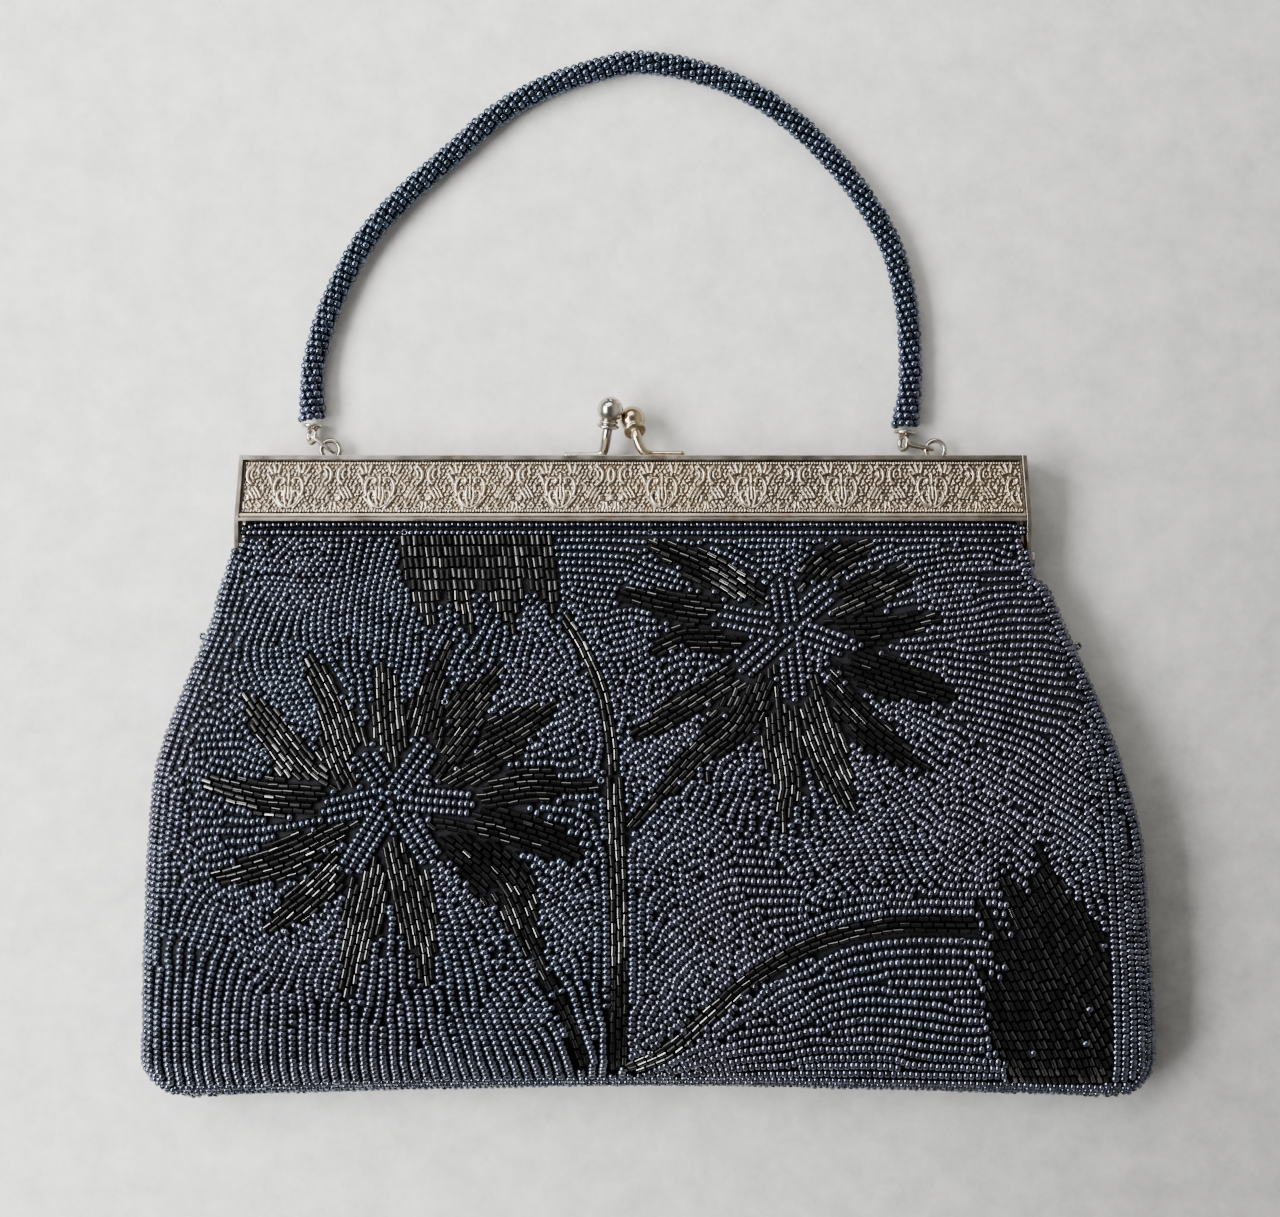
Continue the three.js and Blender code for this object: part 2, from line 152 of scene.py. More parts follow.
# Flowers: the middle, the rays of seed beads as (angle in degrees, reach), and the petals of bugles. A petal
# is a line of points (x, y, width) from its outer end to its inner one, measured from its flower's middle.
RAY_STRINGS = 3
RAY_START = 1
RAY_ROUNDING = 0.25
RAY_ROOM = 0.86
FLOWERS = (
    {
        "middle": (-58.5, -84.4),
        "rays": ((55, 15), (-5, 19.5), (-58, 18.5), (-121, 21), (-168, 17.5), (125, 12.5)),
        "petals": (
            ((-22.5, 35.5, 2.5), (-15.5, 22.5, 8), (-11, 10, 12), (-7, 1.5, 12)),
            ((-2.5, 33, 4), (-1.5, 20, 8.5), (0.5, 4, 9)),
            ((14, 38.5, 2.5), (9, 26, 6.5), (7, 18, 11), (4.5, 9, 10)),
            ((27.5, 33.5, 2.5), (19, 23.5, 8.5), (13.5, 16.5, 15), (6, 7, 13)),
            ((40.5, 23.5, 2.5), (30, 16.5, 9.5), (20, 11, 15), (8, 4, 11)),
            ((51.5, 3, 1.8), (44, 2.5, 2.5), (36, 3, 9), (20, 1, 9)),
            ((47.5, -14.5, 2.5), (37, -10, 9), (17.5, -4.5, 9), (9, -3, 7)),
            ((47, -68, 5), (44, -57.5, 3.6), (37, -42.5, 3.6), (32.5, -32.5, 7), (27.5, -21.5, 15),
             (16, -11, 12), (7, -4.5, 6)),
            ((43.5, -36, 1.7), (38, -31.5, 1.7), (33, -27.5, 3)),
            ((8.5, -48, 2.5), (7.5, -37.5, 6.5), (5.5, -26.5, 10.5), (1.5, -8, 10)),
            ((-12, -50, 2.5), (-10, -41, 6), (-7, -27.5, 10), (-3, -9, 9)),
            ((-32, -33.5, 2.5), (-20, -24, 9), (-9, -13, 9)),
            ((-46, -21, 2.5), (-27.5, -15.5, 9.5), (-8, -6, 8)),
            ((-48.5, 4, 2.5), (-31, 0, 9.5), (-15.5, -1, 8)),
            ((-37.5, 25.5, 2.5), (-29, 15, 10), (-20.5, 5, 11), (-13, 0, 8)),
        ),
    },
    {
        "middle": (38.4, -42.7),
        "rays": ((97, 12), (170, 17), (-137, 16), (-85, 18), (-19, 15.5), (41, 14)),
        "petals": (
            ((-36, 21.5, 2.5), (-18, 13.5, 9), (-6, 5, 8)),
            ((-43, 9, 2.5), (-29, 5.5, 7), (-16.5, 3.5, 7), (-8, 2, 6)),
            ((-34.5, -6.5, 2.5), (-24, -2.5, 7.5), (-8, -3, 7)),
            ((-39.5, -27.5, 2.5), (-24, -18.5, 7.5), (-8, -8, 8)),
            ((-40, -50.5, 3.6), (-29, -38, 5), (-21.5, -30.5, 7), (-13, -23, 12), (-7, -11, 9)),
            ((-20, -38.5, 1.7), (-20, -33, 2)),
            ((-1.5, -52, 1.8), (-1.5, -45.5, 3.4), (-0.5, -39, 7.5), (-2, -28, 10.5), (-3.5, -9, 8)),
            ((15.5, -45.5, 2.5), (8.5, -30, 11), (3, -12, 9)),
            ((34.5, -36, 2.5), (20, -25.5, 8.5), (8, -13, 9)),
            ((43, -18, 2.5), (27, -13, 9.5), (10, -7, 9)),
            ((38, 2.5, 2.5), (22, -0.5, 8), (8, -1, 6)),
            ((33.5, 15, 2.5), (22, 9.5, 8.5), (10, 4, 7)),
            ((23.5, 22.5, 2.5), (11, 16, 9), (2, 7, 8)),
        ),
    },
)

# Stems in bugles, as points (x, y, width)
STEMS = (
    ((-17.7, -39, 2.9), (-13.8, -44.8, 2.9), (-11.3, -49.6, 2.9), (-9, -54.7, 2.9), (-7.2, -60, 2.9),
     (-5.9, -66.3, 2.9), (-5.1, -72.3, 2.9), (-4.6, -79, 2.9)),
    ((-4.5, -79.5, 4.4), (-3.8, -95, 4.4), (-3.2, -124, 4.6), (-3.6, -153, 4.6)),
    ((-2, -153.5, 5), (8.7, -147.6, 5), (19.2, -137.8, 5), (29.4, -128.7, 5), (44.6, -120.2, 5),
     (57, -116.7, 5), (66, -115.5, 5), (85, -115.8, 4.8)),
)

# Calyxes in bugles: an outline and the direction in which the bugles lie
CALYXES = (
    {
        "angle": -82,
        "outline": (
            (-58.5, -20), (-19.5, -20), (-19, -31.5), (-18.5, -39), (-20, -39.5), (-27, -31), (-29, -46.5),
            (-39.5, -29.5), (-39.5, -46), (-47, -35), (-49.5, -45.5), (-52, -41.5), (-57, -30.5),
        ),
    },
    {
        "angle": 117,
        "outline": (
            (98.5, -95.4), (104.8, -104), (115.4, -117.4), (118.6, -132.5), (119.6, -147), (119.2, -157),
            (95.2, -157.2), (87.5, -143.5), (85.5, -130.5), (83.6, -124), (91.5, -129.5), (82.5, -105),
            (94.5, -121.3), (88.5, -98.8), (98, -109.3),
        ),
    },
)

# How the strings run where no petal or edge is near: x, y, angle in degrees
FLOW_GUIDES = (
    (-93.5, -41, 70), (-57, -52, 90), (-99.5, -69.5, 5), (-106, -114.5, 65), (-110.5, -124.5, 85),
    (-81.5, -134, 87), (-44.5, -134, 104), (-15.5, -26.5, 0), (-8, -41, 25), (-13, -58.5, 35),
    (-32.5, -52, 85), (6.5, -75.5, 40), (11.5, -97.5, 38), (31, -102.5, 0), (48, -100, 120),
    (65.5, -97.5, 105), (80, -90, 145), (90, -85, 150), (104.5, -83, 160), (11.5, -122, 38),
    (28.5, -144, 3), (65.5, -134, -5), (72.5, -146.5, -10), (90, -36.5, 12), (102, -61, -8),
    (78, -24, 0), (-92, -25, 45), (-81, -26, 60), (-70, -29, 78),
)

# Beads turned on their string so that the hole shows: x, drop
TURNED_BEADS = (
    (-58, 19.5), (-88.7, 72), (-46.5, 63.5), (4, 19.2), (66.2, 26.7), (-92, 121.2), (-6.3, 81.7),
    (50.4, 116.6), (80.2, 119.8), (-50.2, 143.5), (35.5, 130), (55, 140.3), (85.3, 137.1),
)
TURNED_RADIUS, TURNED_WIRE = 0.62, 0.38

# Single beads that stand out from the edges: x, drop, height
STRAY_BEADS = ((-108.7, 45.4, 9), (112.4, 47.9, 9), (-122.6, 149.5, 8))

# Rope handle: points x, y along its middle, and the height of its middle over the floor
ROPE_POINTS = (
    (-81.85, 9.1), (-81.9, 20.2), (-79.3, 33), (-74.2, 45.6), (-66.4, 58.3), (-56.2, 68.9), (-46, 77.8),
    (-33.4, 88.6), (-21.2, 95.2), (-8.9, 99.2), (0.5, 101.1), (9.1, 100.4), (21.3, 97.2), (33.6, 91.3),
    (45.8, 81.7), (58.8, 66.6), (67.5, 49.8), (70.5, 32.9), (70.9, 20.2), (69.4, 7.3),
)
ROPE_HEIGHT = 3.2
ROPE_BEAD_RING = 2.15
ROPE_BEAD_RADIUS = 0.98
ROPE_TURN = 1.88
ROPE_BEADS_PER_TURN = 8.37
ROPE_END_FLARE = 0.65
ROPE_END_LENGTH = 12
ROPE_END_ROOM = 0.9
ROPE_LOWEST = 1.0

# Frame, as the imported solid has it: two channel jaws with arms that lean outwards
FRAME_WIDTH = 197.2
FRAME_HEIGHT = 16.5
FRAME_DEPTH = 14
TOP_RIM = 1.2
BOTTOM_RIM = 2.0
TRAY_FLOOR = 12.7
SHEET = 0.6
JAW_GAP = 0.3
ARM_THICKNESS = 1.2
HINGE_DROP = 26
HINGE_EYE = 3.3
EYE_ARC = (70, 290, 15)
SPLAY = math.tan(math.radians(4.5)) / (FRAME_WIDTH / 2)
EDGE_ROUNDING = 0.18

# Lower rim of a jaw, fluted: distance below the tray, depth under the jaw's face
RIM_PROFILE = ((0, 0.35), (0.75, 0.15), (0.95, 0.55), (1.2, 0), (BOTTOM_RIM, 0.1))

# Kiss-lock studs: where the foot ends and the post leaves it, the bend of the post, the middle of the ball
STUDS = {
    "left": {
        "foot_end": -17.8, "post_x": -7.1, "foot_z": 4.6, "bend": (-6.7, 5.2, 6.6), "ball": (-5.7, 11.9, 8.4),
    },
    "right": {
        "foot_end": 13.2, "post_x": 2.2, "foot_z": 9.4, "bend": (0.9, 5.0, 8.9), "ball": (-0.2, 9.9, 4.9),
    },
}
STUD_POST = 1.3
STUD_FOOT = 0.75

# A stud's head, turned about the line of its post: (distance from the middle of the ball, radius)
STUD_HEAD = (
    (3.3, 0.02), (3.22, 0.75), (3.0, 1.4), (2.72, 1.84), (2.58, 1.9), (2.44, 2.14), (2.0, 2.62),
    (1.2, 3.07), (0.4, 3.28), (-0.4, 3.28), (-1.2, 3.07), (-1.9, 2.7), (-2.4, 2.26), (-2.6, 1.95),
    (-2.72, 1.95), (-2.84, 2.28), (-3.02, 2.44), (-3.3, 2.44), (-3.48, 2.25), (-3.58, 1.95),
    (-3.7, 1.97), (-3.84, 2.5), (-4.04, 2.8), (-4.3, 2.86), (-4.55, 2.74), (-4.74, 2.3), (-4.88, 1.75),
    (-5.1, 1.32),
)

# Handle ends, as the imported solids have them: the way the link runs from its lug in degrees, how far from the
# lug the middle of the link and the eye of the cap lie, the lean of the rope's end, and the turn of the eye
LUG_X, LUG_Y, LUG_Z = 77.2, 2.1, 3.3
LUG_RADIUS, LUG_WIRE = 2.4, 0.62
HANDLE_ENDS = {
    "left": {"side": -1, "link_angle": 144, "link_reach": 2.7, "eye_reach": 5.9, "lean": -2, "eye_turn": 50},
    "right": {"side": 1, "link_angle": 168, "link_reach": 4.4, "eye_reach": 8.3, "lean": -5, "eye_turn": 62},
}
LINK_LENGTH, LINK_WIDTH, LINK_WIRE = 8.4, 3.8, 0.55
EYE_RADIUS, EYE_WIRE = 1.7, 0.62

# A cap, turned about the rope's end: (distance from the middle of its eye, radius)
CAP_PROFILE = (
    (1.2, 0.02), (1.25, 1.0), (1.5, 1.35), (1.95, 1.45), (2.15, 1.7), (2.25, 2.45), (2.4, 2.7), (2.85, 2.74),
    (3.1, 2.6), (3.2, 0.02),
)

# Embossed band: the axes of its hearts along x, and the strokes of half a repeat, measured from the heart's
# axis and the middle of the band. A stroke is its half width, its height and the points along it.
HEARTS_AT = (-85.7, -63, -40.5, -18, 7.3, 29.5, 52, 74.5)
HALF_REPEAT = 11.2
BAND_TOP, BAND_BOTTOM = -1.35, -14.45
BAND_REACH = 96.85
BAND_FLOOR = 12.95
BAND_STEP = 0.17
BAND_STROKES = (
    (0.36, 0.75, ((1.35, 1.0), (1.0, 1.6), (1.45, 2.2), (2.4, 2.2), (3.2, 1.4), (3.6, -0.3), (3.2, -2.1))),
    (0.32, 0.7, ((1.3, -1.7), (1.5, -1.0), (2.1, -1.0), (2.7, -2.2), (2.2, -3.6), (1.0, -4.9), (0.1, -5.3))),
    (0.3, 0.75, ((0.75, -0.1), (0.95, -2.4), (0.45, -4.4))),
    (0.3, 0.8, ((0, 0.1), (0, -3.0))),
    (0.26, 0.6, ((0, 3.3), (0.05, 0.9))),
    (0.28, 0.6, ((3.9, -2.4), (2.7, -3.9), (1.5, -5.3))),
    (0.34, 0.65, ((2.2, 5.4), (2.65, 3.6))),
    (0.34, 0.65, ((3.8, 5.3), (3.35, 3.6))),
    (0.34, 0.65, ((5.1, 4.9), (4.1, 3.3))),
    (0.34, 0.6, ((5.4, 3.2), (4.3, 1.7))),
    (0.28, 0.55, ((4.7, 2.0), (4.1, 0.6))),
    (0.4, 0.7, ((9.2, 5.1), (10.1, 4.4), (10.5, 3.2), (10.3, 1.8), (9.4, 0.8))),
    (0.3, 0.6, ((8.7, 4.4), (9.3, 3.7), (9.4, 2.7), (8.8, 1.9))),
    (0.26, 0.5, ((7.5, 5.2), (7.9, 4.3), (7.4, 3.4))),
    (0.3, 0.65, ((8.3, 0.0), (7.5, -1.2), (6.8, -2.6))),
    (0.3, 0.65, ((9.0, -0.4), (8.3, -1.5), (7.6, -2.8))),
    (0.34, 0.7, ((9.9, -0.9), (9.2, -1.8), (8.6, -2.9))),
    (0.26, 0.6, ((10.5, -2.1), (9.8, -2.3), (9.7, -3.0), (10.3, -3.3))),
    (0.26, 0.6, ((5.0, -4.3), (4.4, -4.9), (5.0, -5.5), (5.6, -5.0))),
    (0.26, 0.6, ((7.2, -4.0), (6.6, -4.7), (7.2, -5.3), (7.9, -4.9))),
    (0.26, 0.6, ((9.3, -4.2), (8.8, -4.9), (9.5, -5.5), (10.1, -5.0))),
    (0.3, 0.55, ((10.9, -3.9), (10.7, -5.4))),
    (0.26, 0.5, ((5.6, 0.9), (6.4, 0.2), (6.2, -0.8))),
)

# Single dots of the band: x, y and radius, measured as the strokes are
BAND_DOTS = (
    (1.0, 3.6, 0.34), (0, 4.3, 0.34), (1.4, 1.45, 0.4), (1.5, -2.1, 0.42), (10.1, -2.7, 0.34),
    (6.1, 2.6, 0.36), (6.9, 1.6, 0.34), (7.6, 2.5, 0.32), (4.9, -0.6, 0.32), (5.2, -1.9, 0.32),
    (5.9, -3.2, 0.34), (4.4, -3.4, 0.32),
)
BAND_DOT_HEIGHT = 0.6
STROKE_SPREAD = 1.18

# Pearls along both edges of the band, and the stippled ground
PEARL_PITCH = 0.68
PEARL_LENGTH, PEARL_WIDTH = 0.28, 0.42
PEARL_INSET, PEARL_HEIGHT = 0.6, 0.42
DOT_PITCH, DOT_ROW = 1.02, 0.86
DOT_RADIUS, DOT_HEIGHT = 0.36, 0.24
GROUND_BELOW = 0.12
BORDER_LIFT = 0.05

# Tarnish in the hollows, and painted shade that darkens the band towards its right end: the height of full
# brightness, the share of the reach where the painted shade starts, its depth at the right end
BRIGHT_HEIGHT = 0.7
RIGHT_SHADE_START = -0.4
RIGHT_SHADE_DEPTH = 0.5

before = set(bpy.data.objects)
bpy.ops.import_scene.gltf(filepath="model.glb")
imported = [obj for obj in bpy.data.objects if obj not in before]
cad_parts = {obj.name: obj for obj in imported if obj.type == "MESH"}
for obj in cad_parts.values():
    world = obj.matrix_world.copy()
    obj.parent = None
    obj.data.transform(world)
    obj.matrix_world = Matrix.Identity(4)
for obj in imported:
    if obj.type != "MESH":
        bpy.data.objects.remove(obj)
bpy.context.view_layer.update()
pouch_low, pouch_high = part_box("pouch")
SHIFT = np.array(
    [
        pouch_low.x / MM - min(row[1] for row in SECTION_ROWS),
        pouch_high.y / MM + SECTION_ROWS[0][0],
        0,
    ]
)


# Lines and directions

LOOK_AHEAD = 0.3
END_SLACK = 0.3


def unit(vectors):
    return vectors / np.maximum(np.linalg.norm(vectors, axis=-1, keepdims=True), 1e-12)


def left_of(heading):
    """Plan directions turned a quarter to the left."""
    return np.stack([-heading[..., 1], heading[..., 0]], axis=-1)


def flat_direction(degrees):
    return np.array([math.cos(math.radians(degrees)), math.sin(math.radians(degrees)), 0])


def line_lengths(line):
    """How far along a line each of its points is."""
    return np.concatenate([[0], np.cumsum(np.linalg.norm(np.diff(line, axis=0), axis=1))])


def read_off(wanted, lengths, table):
    """Rows of a table at wanted lengths along it."""
    return np.stack([np.interp(wanted, lengths, column) for column in table.T], axis=1)


def curve_slopes(at, values):
    steps = np.diff(values) / np.diff(at)
    before, after = steps[:-1], steps[1:]
    same_way = before * after > 0
    total = np.where(same_way, before + after, 1)
    inner = np.where(same_way, 2 * before * after / total, 0)
    return np.concatenate([steps[:1], inner, steps[-1:]])


def through(at, values, wanted):
    """A smooth curve through the values that never overshoots them, read at the wanted places."""
    at = np.asarray(at, float)
    values = np.asarray(values, float)
    slopes = curve_slopes(at, values)
    wanted = np.clip(wanted, at[0], at[-1])
    index = np.clip(np.searchsorted(at, wanted, side="right") - 1, 0, len(at) - 2)
    span = at[index + 1] - at[index]
    t = (wanted - at[index]) / span
    rise = values[index + 1] - values[index]
    start = slopes[index] * span
    end = slopes[index + 1] * span
    return values[index] + t * (start + t * (3 * rise - 2 * start - end + t * (start + end - 2 * rise)))


def read_smoothly(wanted, lengths, table):
    """Rows of a table at wanted lengths along it, on smooth curves."""
    return np.stack([through(lengths, column, wanted) for column in table.T], axis=1)


def smooth_line(points, step):
    """Places, directions and any further columns at even steps along a smooth line through the points."""
    points = np.asarray(points, float)
    lengths = line_lengths(points[:, :2])
    wanted = np.linspace(0, lengths[-1], max(2, int(round(lengths[-1] / step)) + 1))
    read = read_off if len(points) == 2 else read_smoothly
    line = read(wanted, lengths, points)
    return line, unit(np.gradient(line[:, :2], axis=0))


def even_marks(total, pitch):
    """Lengths at an even pitch along a line, centred on it."""
    count = int((total + END_SLACK * pitch) / pitch)
    return total / 2 + (np.arange(count) - (count - 1) / 2) * pitch


def evenly(line, pitch):
    """Points at an even pitch along a line of points, centred on it, with the direction at each."""
    lengths = line_lengths(line)
    marks = even_marks(lengths[-1], pitch)
    ahead = read_off(marks + LOOK_AHEAD, lengths, line)
    behind = read_off(marks - LOOK_AHEAD, lengths, line)
    return read_off(marks, lengths, line), unit(ahead - behind)


# The pouch's surface

SECTIONS = dict(zip(SECTION_COLUMNS, np.array(SECTION_ROWS, float).T))
SHOULDERS = dict(zip(SHOULDER_COLUMNS, np.array(SHOULDER_ROWS, float).T))
Section = collections.namedtuple("Section", "middle half low high widest lift square")


def arm_height(drop):
    """Height of the top of the frame's arms, which slope down to the round eyes of the hinge."""
    eye_top = FRAME_DEPTH / 2 + HINGE_EYE
    slope = np.interp(drop, (FRAME_HEIGHT, HINGE_DROP - 1), (FRAME_DEPTH, eye_top))
    eye = FRAME_DEPTH / 2 + np.sqrt(np.clip(HINGE_EYE**2 - (drop - HINGE_DROP) ** 2, 0, None))
    return np.where(drop < HINGE_DROP, slope, np.where(drop < HINGE_DROP + HINGE_EYE, eye, 0))


def lean_at(y):
    """How much wider than at the top edge the leaning sides of the frame stand."""
    return 1 + SPLAY * np.maximum(0, -y)


def section_at(drop, inset=0.0):
    """The pouch's section at many drops, inset from its surface."""
    read = {name: through(SECTIONS["drop"], SECTIONS[name], drop) for name in SECTION_COLUMNS[1:]}
    bulges = (drop > SHOULDERS["drop"][0]) & (drop < SHOULDERS["drop"][-1])
    shoulder = {name: through(SHOULDERS["drop"], SHOULDERS[name], drop) for name in ("left", "right")}
    left = np.where(bulges, np.minimum(read["left"], shoulder["left"]), read["left"])
    right = np.where(bulges, np.maximum(read["right"], shoulder["right"]), read["right"])
    low = read["back"] + inset
    high = read["crown"] - inset
    widest = low + WIDEST_SHARE * (high - low)
    over_arms = np.minimum(arm_height(drop) + ARM_CLEARANCE - inset / 2, high - CROWN_RISE)
    return Section(
        middle=(left + right) / 2,
        half=(right - left) / 2 - inset,
        low=low,
        high=high,
        widest=np.where(bulges, np.maximum(widest, over_arms), widest),
        lift=read["lift"],
        square=read["square"],
    )


def section_of(drop, inset=0.0):
    """The section at a single drop, in plain numbers."""
    return Section(*(float(value[0]) for value in section_at(np.array([drop]), inset)))


def crown_height(form, across):
    share = np.clip(np.abs(across), 0, 1) ** form.square
    return form.widest + (form.high - form.widest) * (1 - share) ** (1 / form.square)


def underside_height(form, across):
    beyond = np.clip((np.abs(across) * form.half - (form.half - LOWER_ROLL)) / LOWER_ROLL, 0, 1)
    return form.widest - (form.widest - form.low) * np.sqrt(1 - beyond**2)


def front_height(x, y):
    """Height of the pouch's upper face over plan points."""
    drop = -y
    for _ in range(4):
        form = section_at(drop)
        across = (x - form.middle) / form.half
        drop = -y + form.lift * (1 - across**2)
    form = section_at(drop)
    return crown_height(form, (x - form.middle) / form.half)


def seat_on_front(plan, heading, sink):
    """Places in space, directions and surface normals for things that lie on the front at plan points."""
    x, y = plan[:, 0], plan[:, 1]
    reach = 0.6
    slope_x = (front_height(x + reach, y) - front_height(x - reach, y)) / (2 * reach)
    slope_y = (front_height(x, y + reach) - front_height(x, y - reach)) / (2 * reach)
    normal = unit(np.stack([-slope_x, -slope_y, np.ones_like(x)], axis=1))
    place = np.stack([x, y, front_height(x, y)], axis=1) - sink * normal
    rise = heading[:, 0] * slope_x + heading[:, 1] * slope_y
    along = unit(np.stack([heading[:, 0], heading[:, 1], rise], axis=1))
    return place, along, normal


# Plan of the front: which cells are taken

PLAN_LEFT, PLAN_LOW = -136.0, -170.0
PLAN_WIDE, PLAN_TALL = 280.0, 165.0
CELL = 0.2


def cell_of(x, y, step=CELL):
    """Row and column of the plan's cell at a place."""
    return int((y - PLAN_LOW) / step), int((x - PLAN_LEFT) / step)


def cells_of(x, y):
    """Rows and columns of the plan's cells at many places."""
    return ((y - PLAN_LOW) / CELL).astype(int), ((x - PLAN_LEFT) / CELL).astype(int)


def bar_cells(x, y, heading, half_length, half_width):
    """Cells under a bar that lies along a heading."""
    along = np.arange(-half_length, half_length + 1e-6, CELL * 0.8)
    across = np.arange(-half_width, half_width + 1e-6, CELL * 0.8)
    bar_x = x + along[:, None] * heading[0] - across[None, :] * heading[1]
    bar_y = y + along[:, None] * heading[1] + across[None, :] * heading[0]
    return cells_of(bar_x, bar_y)


@functools.lru_cache(maxsize=None)
def disc_mask(radius):
    reach = int(radius / CELL) + 1
    side = np.arange(-reach, reach + 1) * CELL
    return side[:, None] ** 2 + side[None, :] ** 2 <= radius**2


class Cover:
    """A plan of taken cells."""

    def __init__(self, taken):
        self.taken = taken.copy()

    def disc(self, x, y, radius):
        mask = disc_mask(radius)
        reach = mask.shape[0] // 2
        row, column = cell_of(x, y)
        self.taken[row - reach : row + reach + 1, column - reach : column + reach + 1] |= mask

    def free(self, x, y):
        return not self.taken[cell_of(x, y)]

    def bar_free(self, *bar):
        return not self.taken[bar_cells(*bar)].any()

    def bar(self, *bar):
        self.taken[bar_cells(*bar)] = True


def plan_grid(step):
    x = PLAN_LEFT + step / 2 + np.arange(int(PLAN_WIDE / step)) * step
    y = PLAN_LOW + step / 2 + np.arange(int(PLAN_TALL / step)) * step
    return np.meshgrid(x, y)


def inside(outline, x, y):
    """Which points lie inside a closed outline."""
    result = np.zeros(np.shape(x), bool)
    for (x0, y0), (x1, y1) in zip(outline, outline[1:] + outline[:1]):
        crosses = (y0 > y) != (y1 > y)
        rise = y1 - y0 if y1 != y0 else 1e-9
        result ^= crosses & (x < (x1 - x0) * (y - y0) / rise + x0)
    return result


def front_domain():
    x, y = plan_grid(CELL)
    form = section_at(-y)
    across = (x - form.middle) / form.half
    bottom = section_at(np.full_like(x, FRONT_BOTTOM))
    floor_y = -FRONT_BOTTOM + bottom.lift * (1 - across**2)
    room = form.half - EDGE_INSET - STRING_GAP * SIDE_ROOM
    return (np.abs(x - form.middle) < room) & (y < -FRONT_TOP) & (y > floor_y + STRING_GAP * BOTTOM_ROOM)


DOMAIN = front_domain()


# Bugles


class Strewn:
    """Plan places and directions of beads, gathered as they are laid."""

    def __init__(self):
        self.places = []
        self.headings = []
        self.strings = []

    def add(self, place, heading, string=0):
        """A bead with its string's number, which is 0 for a bead that stays put and -1 for a single one."""
        self.places.append(place)
        self.headings.append(heading)
        self.strings.append(string)

    def arrays(self):
        return np.array(self.places, float), np.array(self.headings, float)


def lay_bugle(bugles, cover, x, y, heading):
    """Lays a bugle where there is room for it, and says whether it did."""
    half_length = BUGLE_LENGTH / 2 - BUGLE_END_OVERLAP
    half_width = BUGLE_DIAMETER / 2 - BUGLE_SIDE_OVERLAP
    if not cover.bar_free(x, y, heading, half_length, half_width):
        return False
    heading = heading + RNG.normal(0, BUGLE_SWAY) * left_of(heading)
    cover.bar(x, y, heading, BUGLE_LENGTH / 2, BUGLE_DIAMETER / 2 - BUGLE_SIDE_SLACK)
    bugles.add((x, y), heading)
    return True


def fill_stroke(bugles, cover, points):
    """Bugles end to end in parallel strings along a stroke, as many side by side as its width takes."""
    line, heading = smooth_line(points, BUGLE_STEP)
    widest = line[:, 2].max()
    count = max(1, int(round((widest - BUGLE_DIAMETER) / BUGLE_GAP)) + 1)
    pitch = int(BUGLE_PITCH / BUGLE_STEP)
    half = int(BUGLE_LENGTH / 2 / BUGLE_STEP)
    slack = int(BUGLE_SLACK / BUGLE_STEP)
    order = sorted(range(count), key=lambda string: abs(string - (count - 1) / 2))
    for string in order:
        offset = (string - (count - 1) / 2) * BUGLE_GAP
        stagger = (string * pitch * 5 // 13) % pitch
        at = len(line) - 1 - half - stagger
        while at >= half:
            if abs(offset) <= (line[at, 2] - BUGLE_DIAMETER) / 2 + BUGLE_EDGE_SLACK:
                place = line[at, :2] + offset * left_of(heading[at])
                lay_bugle(bugles, cover, *place, heading[at])
            at -= pitch + int(RNG.integers(0, slack))


def fill_outline(bugles, cover, outline, angle):
    """Bugles in parallel strings that cross an outline in one direction."""
    heading = flat_direction(angle)[:2]
    normal = left_of(heading)
    corners = np.array(outline)
    along, across = corners @ heading, corners @ normal
    for offset in np.arange(across.min() + 0.6, across.max(), BUGLE_GAP):
        at = along.min()
        while at < along.max():
            middle = at * heading + offset * normal
            ends = np.array([middle - heading, middle, middle + heading])
            fits = inside(outline, ends[:, 0], ends[:, 1]).all()
            laid = fits and lay_bugle(bugles, cover, *middle, heading)
            at += BUGLE_PITCH + RNG.uniform(0, BUGLE_SLACK) if laid else BUGLE_STEP


def petal_lines():
    for flower in FLOWERS:
        middle = np.array([*flower["middle"], 0])
        for petal in flower["petals"]:
            yield [tuple(np.array(point) + middle) for point in petal]


def lay_rays(seeds, cover):
    """The rays of a flower: short strings of seed beads side by side, from the tips inwards."""
    for flower in FLOWERS:
        middle = np.array(flower["middle"])
        for angle, reach in flower["rays"]:
            heading = flat_direction(angle)[:2]
            normal = left_of(heading)
            for string in range(RAY_STRINGS):
                offset = (string - (RAY_STRINGS - 1) / 2) * STRING_GAP
                at = reach - RAY_ROUNDING * abs(offset) * STRING_GAP
                while at > RAY_START:
                    place = middle + at * heading + offset * normal
                    if cover.free(*place):
                        seeds.add(tuple(place), heading)
                        cover.disc(*place, SEED_PITCH * RAY_ROOM)
                    at -= SEED_PITCH


# Strings of seed beads that flow between the petals

FLOW_STEP = 0.5
TRACE_STEP = 0.4
TRACE_STEPS = 700
LOOP_CELL = 1.3
LOOP_STEPS = 12
SHORTEST_STRING = 5

# Room that strings leave round fixed beads and at the ends and sides of bugles, in seed beads
FIXED_ROOM, BUGLE_END_ROOM, BUGLE_SIDE_ROOM = 0.8, 0.36, 0.4

# First, end and step of the drops or places along the edges: where the flow is given, and where strings start
SIDE_FLOW, LEVEL_FLOW = (20, 156, 4.0), (-90, 91, 5.0)
SIDE_STARTS, TOP_STARTS = (24, 152, 8.0), (-90, 91, 6)
FLOW_INSET = 3
BOTTOM_STRETCH = 1.25

# How strongly the strings follow each kind of place, and how their pull falls off
PETAL_WEIGHT, GUIDE_WEIGHT, EDGE_WEIGHT, TOP_WEIGHT, BOTTOM_WEIGHT = 1, 14, 2.5, 2, 0.8
PULL_CORE, PULL_FALL = 6, 1.7

